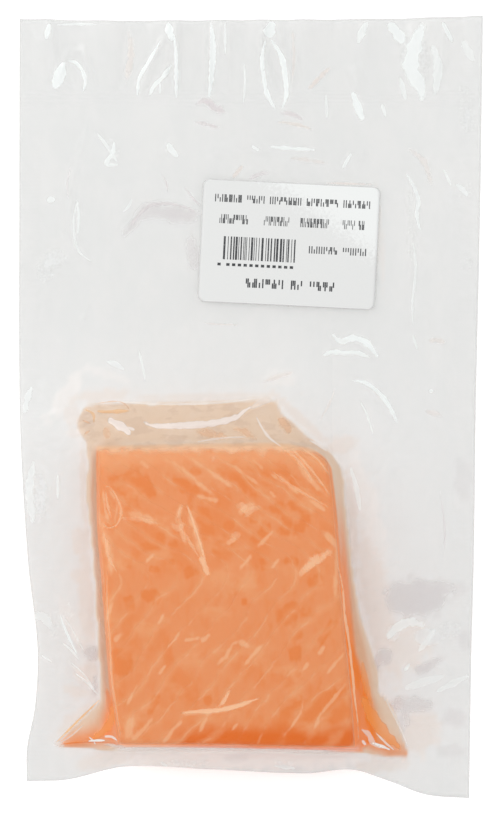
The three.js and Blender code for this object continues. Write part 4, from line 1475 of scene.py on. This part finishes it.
@dataclass
class SealedBag:
    """The bag: two films that part round the portion, with side seals and a loose lip."""

    film: DrawnFilm
    turn_up: float = 0.5
    rise: float = 1.7
    seal_width: float = 8.0
    mouth_seal: Point = (98.5, 104.5)
    seal_dip: float = 0.12
    table_gap: float = 0.05
    least_gap: float = 0.04
    tall_tent: float = 14.0
    label_at: Point = (12.5, 53.4)
    label_calm: Point = (30.0, 21.5)

    def patch(self) -> Patch:
        """Grid lines that run along the portion's sides and out to the bag's edges.

        Returns:
            The grid, finest over the portion and beside it.
        """
        s, foot = PORTION, 1.6
        return Patch(
            columns=lambda y: [BAG.left(y), s.left(y) - 6, s.left(y) - foot, s.left(y), s.left(y) + 3,
                               s.right(y) - 3, s.right(y), s.right(y) + foot, s.right(y) + 9, BAG.right(y)],
            rows=lambda x: [BAG.bottom(x), s.bottom(x) - 3.4, s.bottom(x) - foot, s.bottom(x),
                            s.bottom(x) + 3, s.top(x) - 5, s.top(x), s.top(x) + foot,
                            s.top(x) + 13, BAG.top(x)],
            us=stations(22, 8, 5, 8, 76, 8, 5, 13, 34),
            vs=stations(7, 4, 5, 8, 74, 8, 4, 18, 94))

    def calm(self, x: Array, y: Array) -> Array:
        """0 under the label, which keeps the film flat, and 1 away from it."""
        (middle_x, middle_y), (wide, tall) = self.label_at, self.label_calm
        return smoothstep(np.maximum(np.abs(x - middle_x) - wide, np.abs(y - middle_y) - tall), 0, 5)

    def from_side(self, x: Array, y: Array) -> Array:
        """Distance in from the bag's nearer long edge."""
        return np.minimum(x - BAG.left(y), BAG.right(y) - x)

    def from_middle(self, x: Array) -> Array:
        """Distance across from the middle of the portion's back."""
        return np.abs(x + 5)

    def climb(self, x: Array, y: Array) -> Array:
        """How far the upper film stands over the flange, as a share of a tall tent."""
        return np.clip(self.film.above_flange(x, y) / self.tall_tent, 0, 1)

    def slow_creases(self, x: Array, y: Array) -> Array:
        """Ridges of both films together: named creases, lip folds, side seals and soft crumples.

        Args:
            x: Places across.
            y: Places along.

        Returns:
            The height that they add to the flange.
        """
        fold = summed(FLANGE_CREASES, x, y)
        sealed = 1 - smoothstep(self.from_side(x, y), self.seal_width - 0.5, self.seal_width + 0.5)
        lip = summed(LIP_CREASES, x, y) - self.seal_dip * sealed
        out = PORTION.outside(x, y)
        crumple = 0.16 * Noise(11, 14, stretch=1.8)(x, y) + 0.07 * Noise(12, 5.5, stretch=2.5)(x, y)
        crumple = crumple + smoothstep(y, 100, 112) * 0.22 * Noise(13, 6.5, stretch=6.0)(x, y)
        near = bell(out, 26.0) * smoothstep(out, 1.0, 7.0)
        return (fold + crumple + near * 0.22 * Noise(14, 5.0)(x, y)) * self.calm(x, y) + lip

    def upper(self, x: Array, y: Array) -> Array:
        """Height of the upper film: the drawn film, its creases and its fine slack.

        Args:
            x: Places across.
            y: Places along.

        Returns:
            The heights.
        """
        lift = self.film.above_flange(x, y)
        on_flange = 1 - smoothstep(lift, 0.0, 2.0)
        slack = self.film.hanging(x, y) * (1 - self.film.touching(x, y))
        on_block = smoothstep(-PORTION.outside(x, y), -0.4, 0.0)
        taut = 0.06 * (1 + Noise(21, 6.0)(x, y)) + 0.03 * Noise(22, 2.6)(x, y)
        pucker = slack * 0.22 * Noise(23, 4.5)(x, y)
        return (self.film.top(x, y) + on_flange * self.slow_creases(x, y)
                + summed(BLOCK_CREASES, x, y) * on_block
                + summed(TENT_CREASES, x, y) * np.clip(slack + on_block, 0, 1) + taut * on_block + pucker)

    def lower(self, x: Array, y: Array) -> Array:
        """Height of the lower film: flat under the portion, then up to the flange.

        Args:
            x: Places across.
            y: Places along.

        Returns:
            The heights.
        """
        out, flat = PORTION.outside(x, y), self.table_gap
        creases = self.slow_creases(x, y) * smoothstep(out, 2, 6)
        seam = self.film.flange.middle(x, y) - self.film.half_film + creases
        turned = smoothstep(out, self.turn_up, self.turn_up + self.rise)
        return flat + (np.maximum(seam, 2 * flat) - flat) * turned

    def tint(self, x: Array, y: Array) -> Array:
        """Colour of the upper film.

        It is grey on the flange, with painted light near the portion, a painted warm halo round the tents
        and patches of painted shade. In the tents it runs from beige at the foot to a painted, shaded orange
        against the portion, strongest low down at the right. It carries painted shade at the portion's back
        and painted sheen where it lies on the portion.

        Args:
            x: Places across.
            y: Places along.

        Returns:
            The colour as linear RGB, in the grid's shape.
        """
        film = self.film
        tent = film.hanging(x, y)
        colour = np.broadcast_to(Shade.FILM.row, x.shape + (3,)).copy()

        def blend(shade: Shade, amount: Array) -> None:
            """Moves the colour towards a shade."""
            colour[...] = mixed(colour, shade.row, np.clip(amount, 0, 1)[..., None])

        # Painted light: the film is lighter near the portion and towards the right, with a painted warm halo
        # round the tents.
        blend(Shade.NEAR, 0.5 * bell(PORTION.outside(x, y), 32.0) + 0.2 * smoothstep(x, 20, 70))
        blend(Shade.HALO, 0.5 * film.nearness(x, y))
        # Painted shade patches on the flange.
        for shade, patches in PAINTED_SHADE_PATCHES.items():
            for light_patch in patches:
                blend(shade, light_patch.mask(x, y))
        blend(Shade.BEIGE, tent)
        blend(Shade.TAN, tent * self.wall(x, y))
        blend(Shade.FILM, 0.9 * tent * self.front(x, y))
        belly = smoothstep(y + 1.2 * Noise(24, 4.0)(x, y), -14.5, -12.0)
        blend(Shade.FLESH, smoothstep(PORTION.inward(x, y), -0.2, 0.5) * (1 - belly))
        blend(Shade.BELLY, self.veil(x, y))
        # Painted shade: the portion's orange side, dark through the film, low beside it and in the ears.
        blend(Shade.JUICE, self.juice(x, y))
        blend(Shade.FLESH, self.back_edge(x, y))
        # Painted shade of the portion's back, carried onto the film just past its edge.
        blend(Shade.FLESH_DARK, self.back_edge(x, y) * smoothstep(x, -34, -10))
        # Painted sheen on the film where it lies on the portion.
        blend(Shade.SHEEN, film.touching(x, y))
        return colour

    def veil(self, x: Array, y: Array) -> Array:
        """1 on a ragged strip along the portion's belly edge, where the film is milky."""
        ragged = 1.6 * Noise(24, 4.0)(x, y) + 0.5 * Noise(25, 1.8)(x, y)
        return smoothstep(y + ragged, -15.8, -12.6) * smoothstep(PORTION.inward(x, y), -0.6, 0.3)

    def front(self, x: Array, y: Array) -> Array:
        """1 on the wall of film between the portion's back and the seam, away from the ears."""
        return smoothstep(PORTION.bottom(x) - y, 0.0, 1.4) * (1 - smoothstep(self.from_middle(x), 36, 41))

    def back_edge(self, x: Array, y: Array) -> Array:
        """1 where the film still hugs the portion's back, just past its edge in plan."""
        past = PORTION.bottom(x) - y
        return ((1 - smoothstep(past, 0.5, 1.2)) * smoothstep(past, -1.2, -0.4)
                * (1 - smoothstep(self.from_middle(x), 35, 40)))

    def wall(self, x: Array, y: Array) -> Array:
        """Where the film stands steep beside the portion: wide at the right, narrow at the left.

        Args:
            x: Places across.
            y: Places along.

        Returns:
            A mask from 0 to 1.
        """
        climb = self.climb(x, y)
        right = smoothstep(x, 22, 30) * smoothstep(-y, 26, 60) * smoothstep(climb, 0.1, 0.35)
        left = smoothstep(-x, 40, 46) * smoothstep(-y, 8, 18) * smoothstep(climb, 0.1, 0.4)
        return np.clip(right + left, 0, 1)

    def juice(self, x: Array, y: Array) -> Array:
        """Painted shade where the portion's orange side shows through: low beside it, in the ears, most at
        the right.

        Args:
            x: Places across.
            y: Places along.

        Returns:
            A mask from 0 to 1.
        """
        film, climb = self.film, self.climb(x, y)
        tent = film.hanging(x, y) * (1 - film.touching(x, y))
        beside = 0.9 * smoothstep(PORTION.inward(x, y), -3.0, -1.2) * smoothstep(-y, 22, 60)
        foot = mixed(0.6, 0.22, smoothstep(-y, 72, 96))
        pool = smoothstep(-y, 36, 80) * smoothstep(climb, foot, foot + 0.28)
        right = smoothstep(x, 22, 30) * np.maximum(beside, pool)
        left = smoothstep(-x, 40, 46) * smoothstep(-y, 86, 104) * smoothstep(climb, 0.3, 0.7)
        near = [segment_distance(x, y, pleat.start, pleat.end)[0] for pleat in film.pleats]
        ears = 0.7 * bell(np.minimum(*near), 3.4) * smoothstep(self.from_middle(x), 37, 43)
        tips = smoothstep(np.abs(x + 6.5), 50, 57)
        return np.clip(tent * np.maximum(right + left, ears * (1 - 0.3 * tips)), 0, 1)

    def build_tints(self, bag: Piece, x: Array, y: Array) -> None:
        """Writes the film's colour with its painted light and shade, its haze, its painted highlights and its
        other marks to both layers of the envelope.

        Args:
            bag: The envelope.
            x: Places across.
            y: Places along.
        """
        film = self.film
        touch = film.touching(x, y)
        tent = film.hanging(x, y) * (1 - touch)
        juice = self.juice(x, y)
        wall = tent * self.wall(x, y)
        milky = mixed(mixed(0.72, 0.5, wall), 0.3, self.front(x, y))
        haze = mixed(mixed(mixed(0.40, milky, tent), 0.95, juice), 0.02, touch)
        haze = mixed(mixed(haze, 0.9, self.back_edge(x, y)), 0.6, self.veil(x, y))
        under = mixed(0.15, 0.40, smoothstep(PORTION.outside(x, y), 0.0, 3.0))
        under = mixed(under, 0.8, np.maximum(juice, wall))
        # Painted highlight patches on the flange, stored as the glow attribute.
        pale = sum(light_patch.mask(x, y) for light_patch in PAINTED_HIGHLIGHT_PATCHES)
        marks = np.clip(0.55 * pale * (1 - film.hanging(x, y)), 0, 1)
        side = 1 - smoothstep(self.from_side(x, y), self.seal_width - 0.6, self.seal_width)
        low, high = self.mouth_seal
        mouth = smoothstep(y, low, low + 0.6) * (1 - smoothstep(y, high - 0.6, high))
        tint = np.concatenate([self.tint(x, y), np.ones(x.shape + (1,))], -1).reshape(-1, 4)
        store(bag, "tint", np.concatenate([tint, tint]))
        for name, above, below in (("haze", haze, under), ("glow", marks, 0 * marks),
                                   ("murk", tent * smoothstep(y, -18, -12), 0 * tent),
                                   ("seal", 0.35 * np.maximum(side * 0.3, mouth), 0 * mouth),
                                   ("ribs", y / 1.3, y / 1.3)):
            store(bag, name, np.concatenate([above.ravel(), below.ravel()]))

    def build(self, finish: FilmFinish) -> Piece:
        """The closed envelope of both films, with its tint, haze and seal attributes.

        Args:
            finish: The film's finish.

        Returns:
            The envelope.
        """
        x, y = self.patch().plan()
        top = self.upper(x, y)
        bottom = np.minimum(self.lower(x, y), top - self.least_gap)
        points, quads, _ = closed_slab(x, y, top, bottom)
        bag = mesh_object("bag_film", points, quads, [finish.material()])
        self.build_tints(bag, x, y)
        return adopted(bag, "film", "bag")


ACROSS = 7  # points across a streak's strip


@dataclass
class FilmStreaks:
    """All streaks of the film as narrow strips that lie on it, a little proud in the middle."""

    bag: SealedBag
    streaks: tuple[Streak, ...] = LIP_STREAKS + FLANGE_STREAKS + TENT_STREAKS + BLOCK_STREAKS
    spacing: float = 0.6
    raise_by: float = 0.07
    crown: float = 0.08
    wander: float = 0.3

    def strip(self, streak: Streak) -> tuple[Array, Array]:
        """One streak's grid of points, and how full its body is at each.

        The strip's half width falls as the root of a sine towards both ends and wanders a little.

        Args:
            streak: The streak.

        Returns:
            Points with ACROSS to a row, and the body value of each point.
        """
        x, y, place = streak.spine(self.spacing)
        across = np.linspace(-1, 1, ACROSS)
        along_x, along_y = np.gradient(x), np.gradient(y)
        size = np.hypot(along_x, along_y)
        taper = 0.25 + 0.75 * np.sqrt(np.clip(np.sin(math.pi * place), 0, 1))
        half = 0.5 * streak.width * taper * (1 + self.wander * Noise(61, 3.0)(x, y))
        px = x[:, None] + (along_y / size * half)[:, None] * across
        py = y[:, None] - (along_x / size * half)[:, None] * across
        bulge = 1 - across[None, :] ** 2
        pz = self.bag.upper(px, py) + self.raise_by + self.crown * bulge
        body = bulge * np.clip(np.sin(math.pi * place), 0, 1)[:, None] ** 0.4
        return np.stack([px, py, pz], -1).reshape(-1, 3), body.ravel()

    def build(self, finish: StreakFinish) -> Piece:
        """Joins the strips into one mesh with tint, body, strength and fraying attributes.

        Args:
            finish: The streaks' finish.

        Returns:
            The streaks.
        """
        strips = [self.strip(streak) for streak in self.streaks]
        sizes = [len(body) for _, body in strips]
        starts = np.cumsum([0, *sizes[:-1]])
        points = np.concatenate([strip for strip, _ in strips])
        quads = np.concatenate([quad_grid(size // ACROSS, ACROSS) + at for size, at in zip(sizes, starts)])
        piece = mesh_object("film_streaks", points, quads, [finish.material()])
        store(piece, "tint", np.repeat([streak.shade.rgba for streak in self.streaks], sizes, axis=0))
        store(piece, "body", np.concatenate([body for _, body in strips]))
        store(piece, "strength", np.repeat([streak.strength for streak in self.streaks], sizes))
        store(piece, "frayed", np.repeat([streak.frayed for streak in self.streaks], sizes))
        return adopted(piece, "film")


@dataclass
class SalmonPiece:
    """The portion itself, with flesh above and skin on the face that lies down."""

    form: PortionForm = PortionForm(lift=0.15, shoulder=3.9, belly_shoulder=6.8)
    ragged: float = 0.3
    below_film: float = 0.17

    def patch(self) -> Patch:
        """Grid lines that crowd at the rounded edges; the cut sides are a little ragged.

        Returns:
            The grid.
        """
        s, f = self.form.sides, self.form
        rough = Noise(41, 7.0)

        def side(curve: Curve, y: Array, away: float) -> Array:
            """A cut side with its raggedness, kept inside the true outline."""
            return curve(y) + away * self.ragged * (0.5 + 0.5 * rough(y, 0 * y))

        return Patch(
            columns=lambda y: [side(s.left, y, 1), s.left(y) + f.shoulder, s.right(y) - f.shoulder,
                               side(s.right, y, -1)],
            rows=lambda x: [side(s.bottom, x, 1), s.bottom(x) + f.shoulder, s.top(x) - f.belly_shoulder,
                            side(s.top, x, -1)],
            us=stations(8, 124, 8),
            vs=stations(8, 146, 12))

    def build(self, flesh: FleshFinish, skin: SkinFinish) -> Piece:
        """The closed block, its upper face gently uneven.

        Args:
            flesh: Finish of the top and the sides.
            skin: Finish of the under face.

        Returns:
            The portion.
        """
        x, y = self.patch().plan()
        lumps = 0.12 * Noise(42, 9.0)(x, y) + 0.05 * Noise(43, 3.5)(x, y)
        top = self.form.top(x, y) - self.below_film + np.minimum(lumps, 0.1)
        points, quads, face = closed_slab(x, y, top, self.form.bottom(x, y))
        which = np.zeros(len(quads), int)
        which[face:2 * face] = 1
        piece = mesh_object("salmon_flesh", points, quads, [flesh.material(), skin.material()], which)
        for name, traces in (("fat", FAT_LINES), ("muscle", DEEP_MUSCLE)):
            mark = summed(traces, x, y).ravel()
            store(piece, name, np.concatenate([mark, 0 * mark]))
        return adopted(piece, "salmon", "salmon_portion")


@dataclass
class ScaleLabel:
    """The sticker: a thin sheet with round corners, and its plain printed marks."""

    bag: SealedBag
    width: float = 58.0
    height: float = 40.0
    corner: float = 2.0
    thick: float = 0.12
    over_film: float = 0.05
    turn: float = -2.8

    def placed(self, right: Array, up: Array) -> tuple[Array, Array]:
        """Turns label coordinates, from its middle, into the pack's plan."""
        (x, y), c, s = self.bag.label_at, math.cos(math.radians(self.turn)), math.sin(math.radians(self.turn))
        return x + right * c - up * s, y + right * s + up * c

    def face(self, x: Array, y: Array) -> Array:
        """Height of the label's upper face: it follows the calm film under it."""
        return self.bag.upper(x, y) + self.over_film + self.thick

    def build(self, finish: PaperFinish) -> Piece:
        """The sheet, whose rows shrink in a quarter circle near its upper and lower edges.

        Args:
            finish: The paper's finish.

        Returns:
            The sheet.
        """
        ends = self.corner * (1 - np.cos(np.linspace(0, math.pi / 2, 7)))
        rows = np.concatenate([ends, np.linspace(self.corner, self.height - self.corner, 36)[1:-1],
                               self.height - ends[::-1]]) - self.height / 2
        cut = rounded(self.height / 2 - np.abs(rows), self.corner)
        across = np.linspace(-0.5, 0.5, 60)
        right = across[None, :] * (self.width - 2 * cut[:, None])
        x, y = self.placed(right, np.broadcast_to(rows[:, None], right.shape))
        top = self.face(x, y)
        points, quads, _ = closed_slab(x, y, top, top - self.thick)
        return adopted(mesh_object("label_sheet", points, quads, [finish.material()]), "label", "label")


class Line(Enum):
    """Lines of marks on the label: start across, height above the middle, letter height, letters.

    A word is a run of letters, and 0 is a space.
    """

    HEADING = (-25.0, 14.2, 2.5, (6, 0, 4, 0, 7, 0, 7, 0, 6), 1.53)
    FIELD_A = (-23.2, 7.4, 3.0, (9,), 1.07)
    FIELD_B = (-8.6, 7.4, 3.0, (8,), 1.07)
    FIELD_C = (3.4, 7.4, 3.0, (9,), 1.07)
    FIELD_D = (17.3, 7.4, 3.0, (4, 0, 2), 1.07)
    TOTAL = (6.6, -1.4, 2.4, (6, 0, 5), 1.62)
    LOT = (-13.6, -13.3, 3.0, (6, 0, 2, 0, 4), 2.15)


@dataclass
class LabelPrint:
    """Plain marks that stand for the print: bars in place of letters, and a row of bars."""

    label: ScaleLabel
    raise_by: float = 0.02
    seed: int = 5
    bar_unit: float = 0.26
    bar_span: Point = (-21.5, 2.2)
    bar_rise: Point = (-5.9, 1.7)
    dashes: int = 13
    dash_start: float = -23.2
    dash_pitch: float = 1.9
    dash_length: float = 1.1
    dash_rise: Point = (-8.0, -7.1)
    steps: int = 3

    def letters(self, line: Line) -> list[tuple[float, float, float, float]]:
        """Strokes that stand for letters: two or three short uprights of random reach each.

        Args:
            line: Which line of marks.

        Returns:
            Rectangles (left, bottom, right, top) from the label's middle.
        """
        left, middle, tall, words, pitch = line.value
        draw = np.random.default_rng(self.seed + list(Line).index(line))
        stroke = 0.21 * pitch
        reaches = ((-0.5, 0.5), (-0.5, 0.5), (-0.5, 0.08), (-0.08, 0.5))
        strokes = []
        for word in words:
            for _ in range(word):
                for place in np.linspace(0, 0.72 * pitch - stroke, 2 + int(draw.random() < 0.5)):
                    low, high = reaches[draw.integers(len(reaches))]
                    at = left + place
                    strokes.append((at, middle + low * tall, at + stroke, middle + high * tall))
                left += pitch
            left += 0.0 if word else 0.9 * pitch
        return strokes

    def bars(self) -> list[tuple[float, float, float, float]]:
        """A row of upright bars of seeded random widths, and a row of small dashes under it.

        Returns:
            Rectangles (left, bottom, right, top) from the label's middle.
        """
        draw = np.random.default_rng(self.seed)
        (left, end), (low, high) = self.bar_span, self.bar_rise
        strokes = []
        while left < end:
            wide, gap = self.bar_unit * draw.integers(1, 4, 2)
            strokes.append((left, low, left + wide * 0.86, high))
            left += wide + gap * 0.8
        low, high = self.dash_rise
        for i in range(self.dashes):
            at = self.dash_start + self.dash_pitch * i + (1.0 if i else 0.0)
            strokes.append((at, low, at + self.dash_length, high))
        return strokes

    def build(self, finish: InkFinish) -> Piece:
        """All strokes as one mesh; each is a strip of quads that follows the label's face.

        Args:
            finish: The ink's finish.

        Returns:
            The marks.
        """
        strokes = self.bars() + [stroke for line in Line for stroke in self.letters(line)]
        box = np.array(strokes)
        up = mixed(box[:, 1:2], box[:, 3:4], np.linspace(0, 1, self.steps))
        right = np.broadcast_to(box[:, None, 0::2], (*up.shape, 2))
        x, y = self.label.placed(right, up[..., None])
        z = self.label.face(x, y) + self.raise_by
        points = np.stack([x, y, z], -1).reshape(-1, 3)
        first = 2 * np.arange(len(box) * self.steps).reshape(-1, self.steps)[:, :-1, None]
        quads = (first + np.array([0, 1, 3, 2])).reshape(-1, 4)
        return adopted(mesh_object("label_marks", points, quads, [finish.material()]), "label")


@dataclass
class Studio:
    """A pale table, soft light, and a camera that looks straight down."""

    table: float = 6.0
    table_drop: float = 0.05
    glow: float = 0.2
    lens: float = 135.0
    far: float = 1.008
    aim: Point = (-1.15, -0.5)

    def floor(self) -> None:
        """A large plain square just under the pack."""
        half = self.table / 2 / MM
        corners = np.array([[x, y, -self.table_drop] for x, y in ((-half, -half), (half, -half),
                                                                  (half, half), (-half, half))])
        top = Surface("table_top", {"Base Color": Shade.TABLE.rgba, "Roughness": 0.9,
                                    "Emission Color": (1.0, 1.0, 1.0, 1.0), "Emission Strength": self.glow})
        mesh_object("table_top", corners, np.array([[0, 1, 2, 3]]), [top.material])

    def lamp(self, name: str, at: tuple[float, float, float], size: Point, power: float) -> None:
        """A rectangular soft light aimed at the pack.

        Args:
            name: The light's name.
            at: Its place in metres.
            size: Its two sides in metres.
            power: Its power in watts.
        """
        light = bpy.data.lights.new(name, "AREA")
        light.shape = "RECTANGLE"
        light.size, light.size_y = size
        light.energy = power
        holder = bpy.data.objects.new(name, light)
        bpy.context.scene.collection.objects.link(holder)
        holder.location = at
        aim = -np.array(at) / np.linalg.norm(at)
        holder.rotation_euler = (math.acos(-aim[2]), 0.0, math.atan2(aim[0], -aim[1]))

    def light(self) -> None:
        """An even white sky, a large key light at the upper left and a strip at the right."""
        scene = bpy.context.scene
        world = bpy.data.worlds.new("studio")
        scene.world = world
        world.use_nodes = True
        sky = world.node_tree.nodes["Background"]
        sky.inputs["Color"].default_value = (1.0, 1.0, 1.0, 1.0)
        sky.inputs["Strength"].default_value = 1.0
        self.lamp("key_light", (-0.9, 0.9, 1.5), (1.1, 1.1), 40.0)
        self.lamp("side_light", (1.3, -0.2, 1.0), (0.4, 1.4), 24.0)
        scene.view_settings.view_transform = "Standard"
        scene.view_settings.look = "None"
        scene.view_settings.exposure = 0.0

    def camera(self) -> None:
        """A long lens straight above the pack, its top edge towards the mouth of the bag."""
        lens = bpy.data.cameras.new("camera")
        lens.lens = self.lens
        lens.sensor_width = 36.0
        lens.clip_start = 0.01
        lens.clip_end = 20.0
        holder = bpy.data.objects.new("camera", lens)
        bpy.context.scene.collection.objects.link(holder)
        holder.location = (self.aim[0] * MM, self.aim[1] * MM, self.far)
        bpy.context.scene.camera = holder


def main() -> None:
    """Builds the pack's pieces in order, then the studio round them."""
    logging.basicConfig(level=logging.INFO, format="%(name)s: %(message)s")
    bag = SealedBag(DrawnFilm())
    SalmonPiece().build(FleshFinish(), SkinFinish())
    bag.build(FilmFinish())
    FilmStreaks(bag).build(StreakFinish())
    label = ScaleLabel(bag)
    label.build(PaperFinish())
    LabelPrint(label).build(InkFinish())
    studio = Studio()
    studio.floor()
    studio.light()
    studio.camera()


if __name__ == "__main__":
    main()
